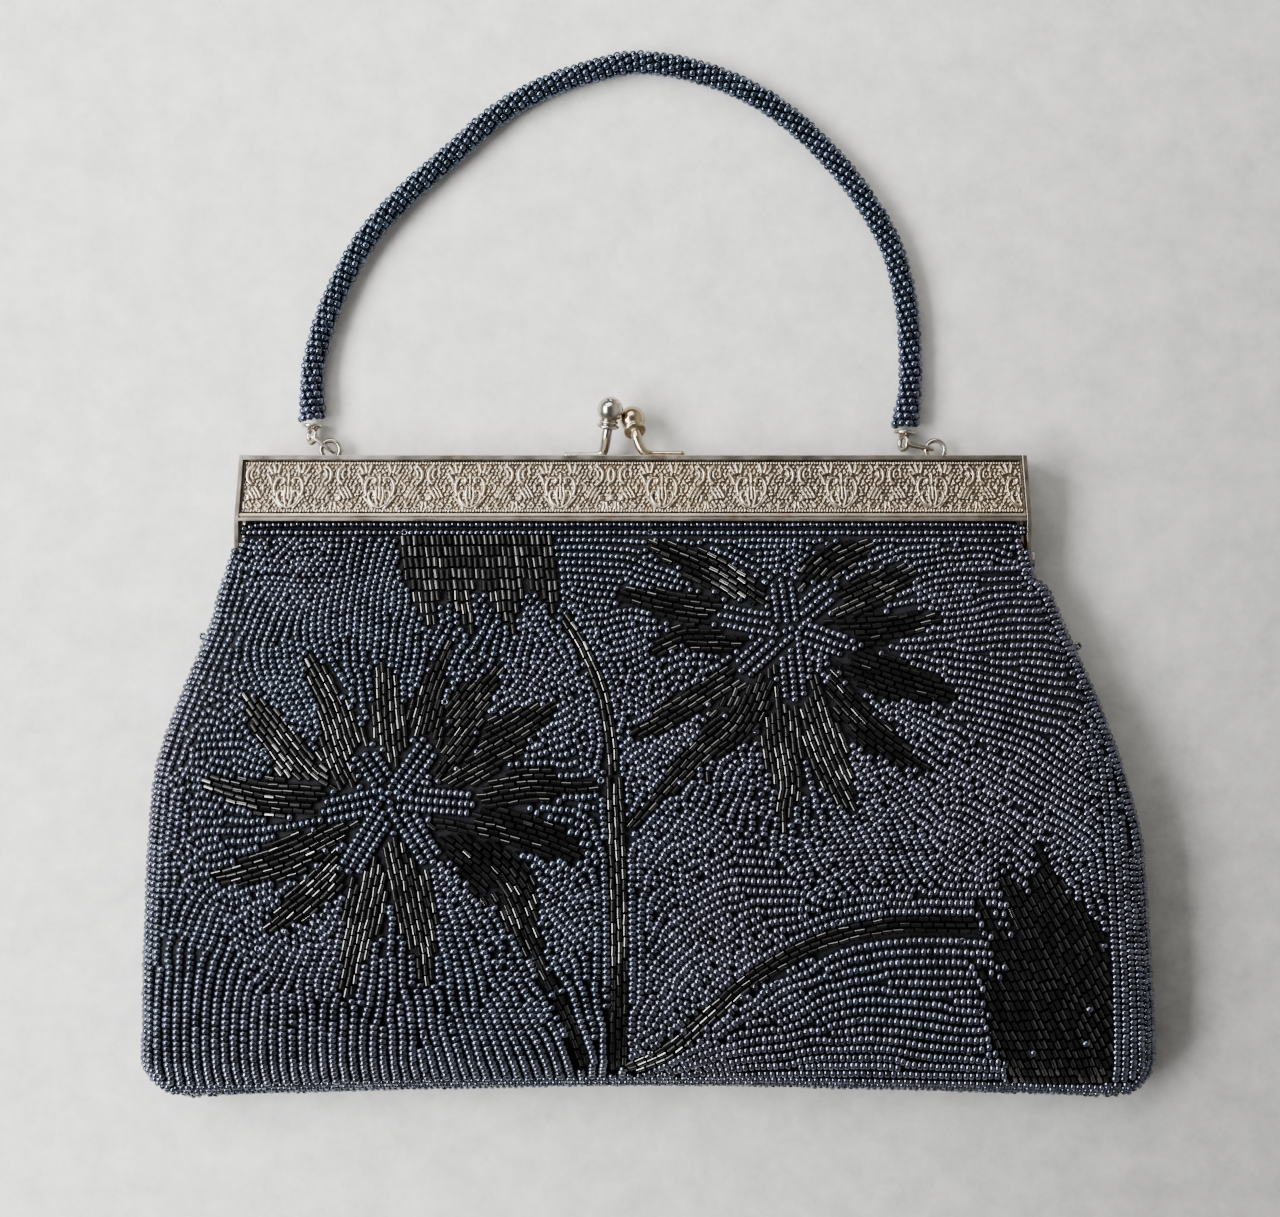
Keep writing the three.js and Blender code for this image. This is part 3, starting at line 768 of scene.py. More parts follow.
# How beads settle: rounds of each settling, rounds between two looks for neighbours, shares of each move
SETTLE_ROUNDS = (60, 25)
NEIGHBOURS_EVERY = 5
PUSH_SHARE, CENTRE_SHARE, STRAIGHTEN_SHARE = 0.16, 0.15, 0.35
MOST_MOVE = 0.3

# A neighbour lies beside a bead if it is this little ahead, in pitches, and this far aside, in gaps
LEVEL_WITHIN, BESIDE_FROM = 0.8, 0.3


def flow_samples():
    """Places and directions that the strings follow, each with its weight."""
    samples = []
    for points in [*petal_lines(), *STEMS]:
        line, heading = smooth_line(points, 2)
        for (x, y, width), (along_x, along_y) in zip(line, heading):
            angle = math.atan2(along_y, along_x)
            for side in (width / 2, -width / 2):
                samples.append((x - side * along_y, y + side * along_x, angle, PETAL_WEIGHT))
    for x, y, angle in FLOW_GUIDES:
        samples.append((x, y, math.radians(angle), GUIDE_WEIGHT))
    for drop in np.arange(*SIDE_FLOW):
        form = section_at(np.array([drop, drop + 1]))
        for side in (-1, 1):
            edge = form.middle + side * (form.half - EDGE_INSET)
            level = side > 0 and drop < LEVEL_ABOVE
            angle = math.radians(LEVEL_ANGLE) if level else math.atan2(-1, edge[1] - edge[0])
            samples.append((edge[0], -drop, angle, EDGE_WEIGHT))
    for x in np.arange(*LEVEL_FLOW):
        if x > LEVEL_RIGHT_OF:
            samples.append((x, -FRONT_TOP - FLOW_INSET, 0, TOP_WEIGHT))
        angle = HANGING_ANGLE if x < HANGING_LEFT_OF else 0
        bottom_x, bottom_y = x * BOTTOM_STRETCH, -FRONT_BOTTOM + FLOW_INSET
        samples.append((bottom_x, bottom_y, math.radians(angle), BOTTOM_WEIGHT))
    return np.array(samples)


@functools.lru_cache(maxsize=None)
def flow_field():
    """The direction of the strings over the plan, as the cosine and sine of its angle."""
    x, y = plan_grid(FLOW_STEP)
    total = np.zeros(x.shape, complex)
    for sample_x, sample_y, angle, weight in flow_samples():
        far = (x - sample_x) ** 2 + (y - sample_y) ** 2
        total += weight * np.exp(2j * angle) / (far + PULL_CORE) ** PULL_FALL
    half_angle = np.angle(total) / 2
    return np.cos(half_angle).tolist(), np.sin(half_angle).tolist()


@functools.lru_cache(maxsize=None)
def height_plan():
    return front_height(*plan_grid(FLOW_STEP))


def heights_at(places):
    """Heights of the front under plan points, read between the cells of the plan."""
    column = (places[:, 0] - PLAN_LEFT) / FLOW_STEP - 0.5
    row = (places[:, 1] - PLAN_LOW) / FLOW_STEP - 0.5
    i, j = row.astype(int), column.astype(int)
    plan = height_plan()
    before = plan[i, j] + (column - j) * (plan[i, j + 1] - plan[i, j])
    after = plan[i + 1, j] + (column - j) * (plan[i + 1, j + 1] - plan[i + 1, j])
    return before + (row - i) * (after - before)


def string_gap(y):
    return STRING_GAP * np.interp(-np.asarray(y), GAP_DROPS, GAP_SHARES)


class Strings:
    """Seed beads strung along the flow, a string's width apart."""

    def __init__(self, blocked, seeds):
        self.near = Cover(blocked.taken)
        self.wide = Cover(blocked.taken)
        self.flow_x, self.flow_y = flow_field()
        self.seeds = seeds
        self.queue = collections.deque()
        self.count = 0

    def heading(self, x, y, last):
        row, column = cell_of(x, y, FLOW_STEP)
        along_x, along_y = self.flow_x[row][column], self.flow_y[row][column]
        if along_x * last[0] + along_y * last[1] < 0:
            return -along_x, -along_y
        return along_x, along_y

    def walk(self, x, y, sense):
        line = []
        seen = {}
        last = self.heading(x, y, (1, 0))
        last = (last[0] * sense, last[1] * sense)
        for step in range(TRACE_STEPS):
            last = self.heading(x, y, last)
            x += TRACE_STEP * last[0]
            y += TRACE_STEP * last[1]
            here = (int(x / LOOP_CELL), int(y / LOOP_CELL))
            if not self.near.free(x, y) or step - seen.get(here, step) > LOOP_STEPS:
                break
            seen[here] = step
            line.append((x, y))
        return line

    def lay(self, x, y):
        if not self.wide.free(x, y):
            return
        line = self.walk(x, y, -1)[::-1] + [(x, y)] + self.walk(x, y, 1)
        if len(line) < SHORTEST_STRING:
            return
        line = np.array(line)
        self.take(line)
        places, headings = evenly(np.column_stack([line, heights_at(line)]), SEED_PITCH)
        self.count += 1
        for place, heading in zip(places[:, :2], unit(headings[:, :2])):
            self.seeds.add(tuple(place), heading, self.count)

    def take(self, line):
        gaps = np.round(string_gap(line[:, 1]), 2)
        for (x, y), gap in zip(line, gaps):
            self.near.disc(x, y, NARROW_SHARE * gap)
            self.wide.disc(x, y, OPEN_SHARE * gap)
        ahead = unit(np.gradient(line, axis=0))
        for (x, y), (along_x, along_y), gap in list(zip(line, ahead, gaps))[::4]:
            for side in (gap, -gap):
                self.queue.append((x - side * along_y, y + side * along_x))

    def flow(self):
        while self.queue:
            self.lay(*self.queue.popleft())

    def fill(self, starts):
        self.flow()
        for x, y in starts:
            self.lay(x, y)
            self.flow()


def near_pairs(places, reach):
    """Which beads lie within reach of each other, as two lists of numbers."""
    tree = KDTree(len(places))
    for number, (x, y) in enumerate(places):
        tree.insert((x, y, 0), number)
    tree.balance()
    pairs = [
        (number, other)
        for number, (x, y) in enumerate(places)
        for _, other, _ in tree.find_range((x, y, 0), reach)
        if other > number
    ]
    return np.array(pairs).T


def beside_gaps(ahead, beside, beads, count):
    """How far each bead lies from its nearest neighbour on the right and on the left, in string gaps."""
    level = np.abs(ahead) < LEVEL_WITHIN
    gaps = []
    for side in (1, -1):
        chosen = level & (side * beside > BESIDE_FROM)
        nearest = np.full(count, np.inf)
        np.minimum.at(nearest, beads[chosen], side * beside[chosen])
        gaps.append(nearest)
    return gaps


def settle(seeds, blocked, rounds):
    """Pushes crowded beads apart, and each string towards the middle between its neighbours."""
    places, headings = seeds.arrays()
    strings = np.array(seeds.strings)
    before, own, after = strings[:-2], strings[1:-1], strings[2:]
    in_line = np.nonzero((own > 0) & (own == before) & (own == after))[0] + 1
    sideways = left_of(headings)
    loose = strings != 0
    for number in range(rounds):
        if number % NEIGHBOURS_EVERY == 0:
            first, second = near_pairs(places, 2 * STRING_GAP)
            first, second = np.concatenate([first, second]), np.concatenate([second, first])
            heights = heights_at(places)
            rise = (heights[second] - heights[first]) / SEED_PITCH
            gaps = string_gap(places[first, 1])
        gap = places[second] - places[first]
        ahead = np.sum(gap * headings[first], axis=1) / SEED_PITCH
        beside = np.sum(gap * sideways[first], axis=1) / gaps
        far = np.maximum(np.sqrt(ahead**2 + beside**2 + rise**2), 0.05)
        push = gap * (np.clip(EASE - far, 0, 1) / far * PUSH_SHARE)[:, None]
        move = np.zeros_like(places)
        np.add.at(move, first, -push)
        right, left = beside_gaps(ahead, beside, first, len(places))
        between = np.isfinite(right) & np.isfinite(left)
        shift = np.where(between, right, 0) - np.where(between, left, 0)
        move += (CENTRE_SHARE * STRING_GAP * shift)[:, None] * sideways
        middle = (places[in_line - 1] + places[in_line + 1]) / 2 - places[in_line]
        stray = np.sum(middle * sideways[in_line], axis=1)
        move[in_line] += STRAIGHTEN_SHARE * stray[:, None] * sideways[in_line]
        moved = places + np.clip(move, -MOST_MOVE, MOST_MOVE)
        allowed = loose & ~blocked.taken[cells_of(*moved.T)]
        places = np.where(allowed[:, None], moved, places)
    seeds.places = [tuple(place) for place in places]


def fill_holes(seeds, blocked):
    """Single beads in the holes that the strings leave."""
    cover = Cover(blocked.taken)

    def take(place, heading):
        half_width = HOLE_SHARE * float(string_gap(place[1]))
        cover.bar(*place, heading, HOLE_SHARE * SEED_PITCH, half_width)

    for place, heading in zip(seeds.places, seeds.headings):
        take(place, heading)
    flow_x, flow_y = flow_field()
    rows, columns = np.nonzero(~cover.taken)
    for row, column in zip(rows, columns):
        x = PLAN_LEFT + (column + 0.5) * CELL
        y = PLAN_LOW + (row + 0.5) * CELL
        if cover.free(x, y):
            flow_row, flow_column = cell_of(x, y, FLOW_STEP)
            heading = (flow_x[flow_row][flow_column], flow_y[flow_row][flow_column])
            seeds.add((x, y), heading, -1)
            take((x, y), heading)


def lay_fixed_rows(seeds, taken):
    """The level rows under the frame, and the strings that hang inside the right edge."""
    for row in range(TOP_ROWS):
        y = -FRONT_TOP - row * TOP_ROW_GAP
        reach = section_of(-y).half - TOP_ROW_INSET
        for x in np.linspace(-reach, reach, int(2 * reach / SEED_PITCH) + 1):
            seeds.add((x, y), (1, 0))
            taken.disc(x, y, ROW_CLEARANCE)
    for top_x, top_drop, low_x, low_drop in EDGE_STRINGS:
        ends = np.array([(top_x, -top_drop), (low_x, -low_drop)])
        for place, heading in zip(*evenly(ends, SEED_PITCH)):
            seeds.add(tuple(place), heading)
            taken.disc(*place, ROW_CLEARANCE)


def string_starts():
    """Places where strings start: inside the sides, under the frame, and beside each petal and stem."""
    starts = []
    for drop in np.arange(*SIDE_STARTS):
        form = section_of(drop)
        reach = form.half - EDGE_INSET - STRING_GAP
        starts += [(form.middle + side * reach, -drop) for side in (-1, 1)]
    under_rows = -FRONT_TOP - (TOP_ROWS - 1) * TOP_ROW_GAP - 2
    starts += [(x, under_rows) for x in np.arange(*TOP_STARTS)]
    for points in [*petal_lines(), *STEMS]:
        line, heading = smooth_line(points, 3)
        beside = (line[:, 2:] / 2 + SEED_DIAMETER / 2) * left_of(heading)
        starts += map(tuple, line[:, :2] + beside)
        starts += map(tuple, line[:, :2] - beside)
    return starts


def lay_front():
    """Everything on the front, in plan: bugles and seed beads."""
    seeds, bugles = Strewn(), Strewn()
    taken = Cover(~DOMAIN)
    lay_fixed_rows(seeds, taken)
    lay_rays(seeds, taken)
    for points in [*STEMS, *petal_lines()]:
        fill_stroke(bugles, taken, points)
    for calyx in CALYXES:
        fill_outline(bugles, taken, calyx["outline"], calyx["angle"])

    blocked = Cover(~DOMAIN)
    for place in seeds.places:
        blocked.disc(*place, SEED_DIAMETER * FIXED_ROOM)
    half_length = BUGLE_LENGTH / 2 + SEED_DIAMETER * BUGLE_END_ROOM
    half_width = BUGLE_DIAMETER / 2 + SEED_DIAMETER * BUGLE_SIDE_ROOM
    for place, heading in zip(bugles.places, bugles.headings):
        blocked.bar(*place, heading, half_length, half_width)
    strings = Strings(blocked, seeds)
    strings.queue.extend(string_starts())
    strings.fill(np.stack([axis[::5, ::5][DOMAIN[::5, ::5]] for axis in plan_grid(CELL)], axis=1))
    fill_holes(seeds, blocked)
    for rounds in SETTLE_ROUNDS:
        settle(seeds, blocked, rounds)
        fill_holes(seeds, blocked)
    return seeds, bugles


# Rows of seed beads round the edges and over the back


def rows_round_the_sides(side):
    """Lines in space down one side, from the front round to the underside, with their outward normals."""
    lines = []
    normals = []
    for drop in np.arange(FRONT_TOP + 0.4, SIDE_ROWS_END, 0.5):
        form = section_of(drop)
        start = math.acos(((form.half - EDGE_INSET) / form.half) ** (form.square / 2))
        turn = np.linspace(start, 0, 40)
        crown_x = form.half * np.cos(turn) ** (2 / form.square)
        crown_z = form.widest + (form.high - form.widest) * np.sin(turn) ** (2 / form.square)
        roll = np.linspace(math.pi / 2, 0, 40)[1:]
        roll_x = form.half - LOWER_ROLL + LOWER_ROLL * np.sin(roll)
        roll_z = form.widest - (form.widest - form.low) * np.cos(roll)
        outline = np.stack([np.concatenate([crown_x, roll_x]), np.concatenate([crown_z, roll_z])], axis=1)
        lengths = line_lengths(outline)
        gap = lengths[-1] / SIDE_ROWS
        wanted = (np.arange(SIDE_ROWS) + SIDE_ROW_OFFSET) * gap
        place = read_off(wanted, lengths, outline)
        run = unit(read_off(wanted + 0.4, lengths, outline) - read_off(wanted - 0.4, lengths, outline))
        outward = np.stack([-run[:, 1], np.zeros(SIDE_ROWS), run[:, 0]], axis=1)
        lift = form.lift * (1 - (place[:, 0] / form.half) ** 2)
        x = form.middle + side * place[:, 0]
        lines.append(np.stack([x, -drop + lift, place[:, 1]], axis=1))
        outward[:, 0] *= side
        normals.append(outward)
    return np.array(lines).swapaxes(0, 1), np.array(normals).swapaxes(0, 1)


def rows_round_the_bottom():
    """Lines in space across the bottom edge, from the front round to the underside, with their normals."""
    front_drops = np.linspace(FRONT_BOTTOM, POUCH_BOTTOM, 24)
    under_drops = np.linspace(POUCH_BOTTOM, BOTTOM_ROWS_END, 60)
    front, under = section_at(front_drops), section_at(under_drops)
    lines = []
    normals = []
    for across in np.linspace(-BOTTOM_ROWS_REACH, BOTTOM_ROWS_REACH, 440):
        x = np.concatenate([form.middle + across * form.half for form in (front, under)])
        front_y = -front_drops + front.lift * (1 - across**2)
        under_y = -under_drops + under.lift * (1 - across**2)
        y = np.concatenate([front_y, under_y])
        z = np.concatenate([crown_height(front, across), underside_height(under, across)])
        outline = np.stack([x, y, z], axis=1)
        lengths = line_lengths(outline)
        fine = np.arange(0, lengths[-1], 0.25)
        place = read_off(fine, lengths, outline)
        run = unit(read_off(fine + 0.8, lengths, outline) - read_off(fine - 0.8, lengths, outline))
        outward = unit(np.stack([np.zeros(len(run)), run[:, 2], -run[:, 1]], axis=1))
        steps = np.sum(np.diff(place - outward * SEED_DIAMETER / 2, axis=0) * run[1:], axis=1)
        sunk_lengths = np.maximum.accumulate(np.concatenate([[0], np.cumsum(steps)]))
        wanted = (np.arange(BOTTOM_ROWS) + BOTTOM_ROW_OFFSET) * STRING_GAP
        lines.append(read_off(wanted, sunk_lengths, place))
        normals.append(unit(read_off(wanted, sunk_lengths, outward)))
    return np.array(lines).swapaxes(0, 1), np.array(normals).swapaxes(0, 1)


def rows_over_the_back():
    """Level lines over the flat underside."""
    lines = []
    for drop in np.arange(FRONT_TOP + 0.6, BACK_ROWS_END, STRING_GAP):
        form = section_of(drop)
        reach = form.half - LOWER_ROLL
        x = form.middle + np.linspace(-reach, reach, 60)
        y = -drop + form.lift * (1 - ((x - form.middle) / form.half) ** 2)
        lines.append(np.stack([x, y, np.full_like(x, form.low)], axis=1))
    return lines


class Crowd:
    """Places in space that are taken, so that two beads never share one."""

    def __init__(self, least):
        self.least = least
        self.cells = collections.defaultdict(list)

    def add(self, place):
        """Takes a place unless another is too near, and says whether it did."""
        place = tuple(map(float, place))
        cell = tuple(int(value // 2) for value in place)
        around = itertools.product(*(range(index - 1, index + 2) for index in cell))
        others = (other for near in around for other in self.cells.get(near, ()))
        if any(math.dist(place, other) < self.least for other in others):
            return False
        self.cells[cell].append(place)
        return True


def strung(line, outward, crowd):
    """Beads along a line in space, sunk below it along its normals, where there is room for them."""
    places, headings = evenly(line, SEED_PITCH)
    lengths = line_lengths(line)
    ups = unit(read_off(even_marks(lengths[-1], SEED_PITCH), lengths, outward))
    beads = zip(places - ups * SEED_DIAMETER / 2, headings, ups)
    return [bead for bead in beads if crowd.add(bead[0])]


def clear_of_frame(place):
    """Whether a bead at a place stays clear of the arms of the two jaws."""
    x, drop, z = abs(place[0]), -place[1], place[2]
    radius = SEED_DIAMETER / 2 - 0.2
    if drop > HINGE_DROP + HINGE_EYE + radius:
        return True
    front_arm = FRAME_WIDTH / 2 * lean_at(-drop) - ARM_THICKNESS
    back_arm = front_arm - ARM_THICKNESS - JAW_GAP
    if x + radius > front_arm:
        return z > arm_height(drop) + radius
    return x + radius < back_arm or z > FRAME_DEPTH / 2 + HINGE_EYE + radius


def as_arrays(beads):
    return tuple(np.array(column, float) for column in zip(*beads))


# Meshes from arrays

BEAD_JITTER = 0.05
SIZE_SPREAD = 0.035
RING_STEPS, RING_SIDES = 36, 12

# A direction that no tube starts along
ASKEW = (0.13, 0.27, 0.95)


def add_object(name, data):
    obj = bpy.data.objects.new(name, data)
    bpy.context.scene.collection.objects.link(obj)
    return obj


def grid_faces(rows, columns, ring=True, loop=False):
    """Four-sided faces between the points of a grid; the ends of its rows or columns may meet."""
    number = np.arange(rows * columns).reshape(rows, columns)
    if ring:
        number = np.concatenate([number, number[:, :1]], axis=1)
    if loop:
        number = np.concatenate([number, number[:1]], axis=0)
    corners = (number[:-1, :-1], number[:-1, 1:], number[1:, 1:], number[1:, :-1])
    return np.stack(corners, axis=-1).reshape(-1, 4)


def barrel(sides, rings):
    """Vertices (along, side, up) and four-sided faces of an open barrel; rings are (along, radius) shares."""
    turns = 2 * np.pi * np.arange(sides) / sides
    corners = [(along, radius * math.cos(t), radius * math.sin(t)) for along, radius in rings for t in turns]
    return np.array(corners), grid_faces(len(rings), sides)[:, [0, 3, 2, 1]]


def new_mesh(name, corners, faces, material, tones=None):
    mesh = bpy.data.meshes.new(name)
    mesh.vertices.add(len(corners))
    mesh.vertices.foreach_set("co", ((corners + SHIFT) * MM).astype(np.float32).ravel())
    mesh.loops.add(faces.size)
    mesh.loops.foreach_set("vertex_index", faces.astype(np.int32).ravel())
    mesh.polygons.add(len(faces))
    mesh.polygons.foreach_set("loop_start", np.arange(0, faces.size, faces.shape[1], dtype=np.int32))
    mesh.polygons.foreach_set("use_smooth", np.ones(len(faces), bool))
    if tones is not None:
        layer = mesh.color_attributes.new(name="tone", type="FLOAT_COLOR", domain="POINT")
        colours = np.stack([tones, tones, tones, np.ones_like(tones)], axis=1)
        layer.data.foreach_set("color", colours.astype(np.float32).ravel())
    mesh.update(calc_edges=True)
    mesh.materials.append(material)
    return add_object(name, mesh)


def strew(name, template, beads, length, radius, material, sway=0.05, tip=0.05):
    """One joined mesh of many beads, each with its own size and tone, swayed sideways and tipped a little."""
    corners, faces = template
    places, along, up = beads
    count = len(places)
    side = unit(np.cross(up, along))
    along = unit(along + RNG.normal(0, sway, (count, 1)) * side + RNG.normal(0, tip, (count, 1)) * up)
    side = unit(np.cross(up, along))
    up = np.cross(along, side)
    roll = RNG.uniform(0, 2 * np.pi, (count, 1))
    side, up = np.cos(roll) * side + np.sin(roll) * up, np.cos(roll) * up - np.sin(roll) * side
    places = places + RNG.normal(0, BEAD_JITTER, places.shape)
    lengths = length * RNG.normal(1, SIZE_SPREAD, (count, 1, 1))
    radii = radius * RNG.normal(1, SIZE_SPREAD, (count, 1, 1))
    points = places[:, None] + along[:, None] * corners[None, :, :1] * lengths
    points = points + side[:, None] * corners[None, :, 1:2] * radii
    points = points + up[:, None] * corners[None, :, 2:] * radii
    offsets = np.arange(count)[:, None, None] * len(corners)
    all_faces = (faces[None] + offsets).reshape(-1, 4)
    tones = np.repeat(RNG.uniform(0, 1, count), len(corners))
    return new_mesh(name, points.reshape(-1, 3), all_faces, material, tones)


def tube_mesh(points, radii, sides, closed=False):
    """Corners and faces of a tube along points in space."""
    points = np.asarray(points, float)
    if closed:
        ahead = unit(np.roll(points, -1, axis=0) - np.roll(points, 1, axis=0))
    else:
        ahead = unit(np.gradient(points, axis=0))
    turns = 2 * np.pi * np.arange(sides) / sides
    side = np.cross(ahead[0], ASKEW)
    rings = []
    for point, forward, radius in zip(points, ahead, np.broadcast_to(radii, len(points))):
        side = unit(side - np.dot(side, forward) * forward)
        other = np.cross(forward, side)
        rings.append(point + radius * (np.cos(turns)[:, None] * side + np.sin(turns)[:, None] * other))
    return np.concatenate(rings), grid_faces(len(points), sides, loop=closed)


def turned_part(middle, axis, profile, sides):
    """A form turned about an axis, from a profile of (distance from the middle, radius)."""
    points = [middle + axis * distance for distance, _ in profile]
    return tube_mesh(points, [radius for _, radius in profile], sides)


def ring_part(middle, first, second, radius, wire, stretch=0.0):
    """A ring of wire in the plane of two directions, drawn out along the first of them."""
    turns = 2 * np.pi * (np.arange(RING_STEPS) + 0.5) / RING_STEPS
    along = radius * np.cos(turns) + np.sign(np.cos(turns)) * stretch
    points = np.asarray(middle) + along[:, None] * first + radius * np.sin(turns)[:, None] * second
    return tube_mesh(points, wire, RING_SIDES, closed=True)


def joined_parts(name, parts, material, tone=None):
    corners, faces, count = [], [], 0
    for part_corners, part_faces in parts:
        corners.append(part_corners)
        faces.append(part_faces + count)
        count += len(part_corners)
    tones = None if tone is None else np.full(count, tone)
    return new_mesh(name, np.concatenate(corners), np.concatenate(faces), material, tones)


SEED_RINGS = ((-0.5, 0.55), (-0.27, 1.0), (0.27, 1.0), (0.5, 0.55))
BACK_RINGS = ((-0.5, 0.6), (0.0, 1.05), (0.5, 0.6))
BUGLE_RINGS = ((-0.5, 1.0), (0.5, 1.0))
FRONT_SEED = barrel(8, SEED_RINGS)
EDGE_SEED = barrel(5, SEED_RINGS)
BACK_SEED = barrel(4, BACK_RINGS)
BUGLE = barrel(9, BUGLE_RINGS)


# Materials


def fill_ramp(node, stops):
    """Gives a colour ramp its stops, each a place and a colour or a grey."""
    while len(node.color_ramp.elements) < len(stops):
        node.color_ramp.elements.new(0.5)
    for element, (position, colour) in zip(node.color_ramp.elements, stops):
        element.position = position
        element.color = (*colour, 1) if isinstance(colour, tuple) else (colour, colour, colour, 1)


class Look:
    """A node material under construction, around one Principled shader."""

    def __init__(self, name):
        self.material = bpy.data.materials.new(name)
        self.material.use_nodes = True
        self.tree = self.material.node_tree
        self.shader = self.tree.nodes["Principled BSDF"]
        self.place = self.tree.nodes.new("ShaderNodeTexCoord").outputs["Object"]

    def set(self, **values):
        for name, value in values.items():
            socket = self.shader.inputs[name.replace("_", " ").title().replace("Ior", "IOR")]
            socket.default_value = (*value, 1) if isinstance(value, tuple) else value
        return self

    def link(self, output, name):
        self.tree.links.new(output, self.shader.inputs[name])
        return self

    def node(self, kind, **settings):
        node = self.tree.nodes.new(kind)
        for name, value in settings.items():
            setattr(node, name, value)
        return node

    def noise(self, scale, detail=3.0, roughness=0.55):
        node = self.node("ShaderNodeTexNoise")
        node.inputs["Scale"].default_value = scale
        node.inputs["Detail"].default_value = detail
        node.inputs["Roughness"].default_value = roughness
        self.tree.links.new(self.place, node.inputs["Vector"])
        return node.outputs["Fac"]

    def attribute(self, name):
        return self.node("ShaderNodeAttribute", attribute_name=name).outputs["Fac"]

    def ramp(self, factor, *stops):
        node = self.node("ShaderNodeValToRGB")
        fill_ramp(node, stops)
        self.tree.links.new(factor, node.inputs["Fac"])
        return node.outputs["Color"]

    def mix(self, factor, first, second, blend="MIX"):
        node = self.node("ShaderNodeMix", data_type="RGBA", blend_type=blend)
        for socket, value in ((node.inputs[0], factor), (node.inputs[6], first), (node.inputs[7], second)):
            if isinstance(value, (int, float)):
                socket.default_value = value
            elif isinstance(value, tuple):
                socket.default_value = (*value, 1)
            else:
                self.tree.links.new(value, socket)
        return node.outputs[2]

    def bump(self, height, strength, distance):
        node = self.node("ShaderNodeBump")
        node.inputs["Strength"].default_value = strength
        node.inputs["Distance"].default_value = distance
        self.tree.links.new(height, node.inputs["Height"])
        return self.link(node.outputs["Normal"], "Normal")


def seed_bead_look(name, cool, warm, dark):
    look = Look(name)
    drift = look.ramp(look.noise(16, 2), (0.38, cool), (0.64, warm))
    shade = look.ramp(look.attribute("tone"), (0.0, dark), (0.3, 0.78), (0.9, 1.0), (1.0, 1.25))
    look.link(look.mix(1.0, drift, shade, "MULTIPLY"), "Base Color")
    look.link(look.ramp(look.noise(900, 2), (0.3, 0.07), (0.75, 0.17)), "Roughness")
    return look.set(metallic=0.9, coat_weight=0.5, coat_roughness=0.06).material


def bugle_look():
    look = Look("black_bugle_glass")
    tone = look.attribute("tone")
    look.link(look.ramp(tone, (0.0, 0.0015), (0.4, 0.003), (1.0, 0.009)), "Base Color")
    look.link(look.ramp(tone, (0.0, 0.03), (0.38, 0.06), (0.5, 0.2), (1.0, 0.34)), "Roughness")
    look.link(look.ramp(tone, (0.0, 0.95), (0.38, 0.7), (0.5, 0.22), (1.0, 0.12)), "Specular IOR Level")
    return look.set(ior=1.62).material


def cloth_look():
    look = Look("dark_bag_cloth")
    threads = look.ramp(look.noise(260, 4), (0.3, (0.002, 0.002, 0.004)), (0.7, (0.007, 0.007, 0.011)))
    look.link(threads, "Base Color")
    weave = look.node("ShaderNodeTexWave", wave_type="BANDS", bands_direction="DIAGONAL")
    weave.inputs["Scale"].default_value = 900
    weave.inputs["Distortion"].default_value = 1.5
    look.tree.links.new(look.place, weave.inputs["Vector"])
    look.bump(weave.outputs["Fac"], 0.4, 0.0003)
    return look.set(roughness=0.85).material


def metal_look(name, bright, dull, darkening, polish):
    """Worn metal: bright and dull patches, and spots of tarnish; polish is the least and most roughness."""
    look = Look(name)
    body = look.ramp(look.noise(45, 5, 0.6), (0.3, dull), (0.62, bright))
    spots = look.ramp(look.noise(160, 6, 0.7), (0.52, 0.0), (0.7, 0.75))
    look.link(look.mix(spots, body, darkening), "Base Color")
    look.link(look.ramp(look.noise(240, 5), (0.3, polish[0]), (0.75, polish[1])), "Roughness")
    look.bump(look.noise(420, 4), 0.12, 0.0004)
    return look.set(metallic=1.0).material


def band_look():
    """Silver that is bright where it stands proud, brown with patina in the hollows, and darker towards its
    right end with painted shade.
    """
    look = Look("embossed_silver")
    patina_and_shade = look.ramp(
        look.attribute("tone"),
        (0.0, (0.14, 0.115, 0.09)),
        (0.3, (0.28, 0.235, 0.19)),
        (0.6, (0.48, 0.43, 0.36)),
        (1.0, (0.69, 0.63, 0.54)),
    )
    stain = look.ramp(look.noise(38, 4, 0.6), (0.45, 0.0), (0.75, 0.45))
    look.link(look.mix(stain, patina_and_shade, (0.36, 0.28, 0.18)), "Base Color")
    look.link(look.ramp(look.noise(300, 4), (0.3, 0.26), (0.75, 0.46)), "Roughness")
    return look.set(metallic=1.0).material


SEED_LOOK = seed_bead_look("gunmetal_seed_beads", (0.112, 0.128, 0.17), (0.126, 0.127, 0.168), 0.4)
ROPE_LOOK = seed_bead_look("navy_rope_beads", (0.084, 0.113, 0.162), (0.1, 0.115, 0.176), 0.45)
BUGLE_LOOK = bugle_look()
CLOTH_LOOK = cloth_look()
SILVER_LOOK = metal_look(
    "aged_silver", bright=(0.54, 0.51, 0.46), dull=(0.36, 0.33, 0.29), darkening=(0.24, 0.17, 0.12),
    polish=(0.14, 0.34),
)
NICKEL_LOOK = metal_look(
    "dull_nickel", bright=(0.41, 0.375, 0.33), dull=(0.3, 0.27, 0.23), darkening=(0.24, 0.155, 0.11),
    polish=(0.26, 0.5),
)
BRASS_LOOK = metal_look(
    "worn_brass", bright=(0.5, 0.44, 0.33), dull=(0.4, 0.3, 0.19), darkening=(0.38, 0.2, 0.11),
    polish=(0.14, 0.36),
)
BAND_LOOK = band_look()


# Cloth pouch under the beads


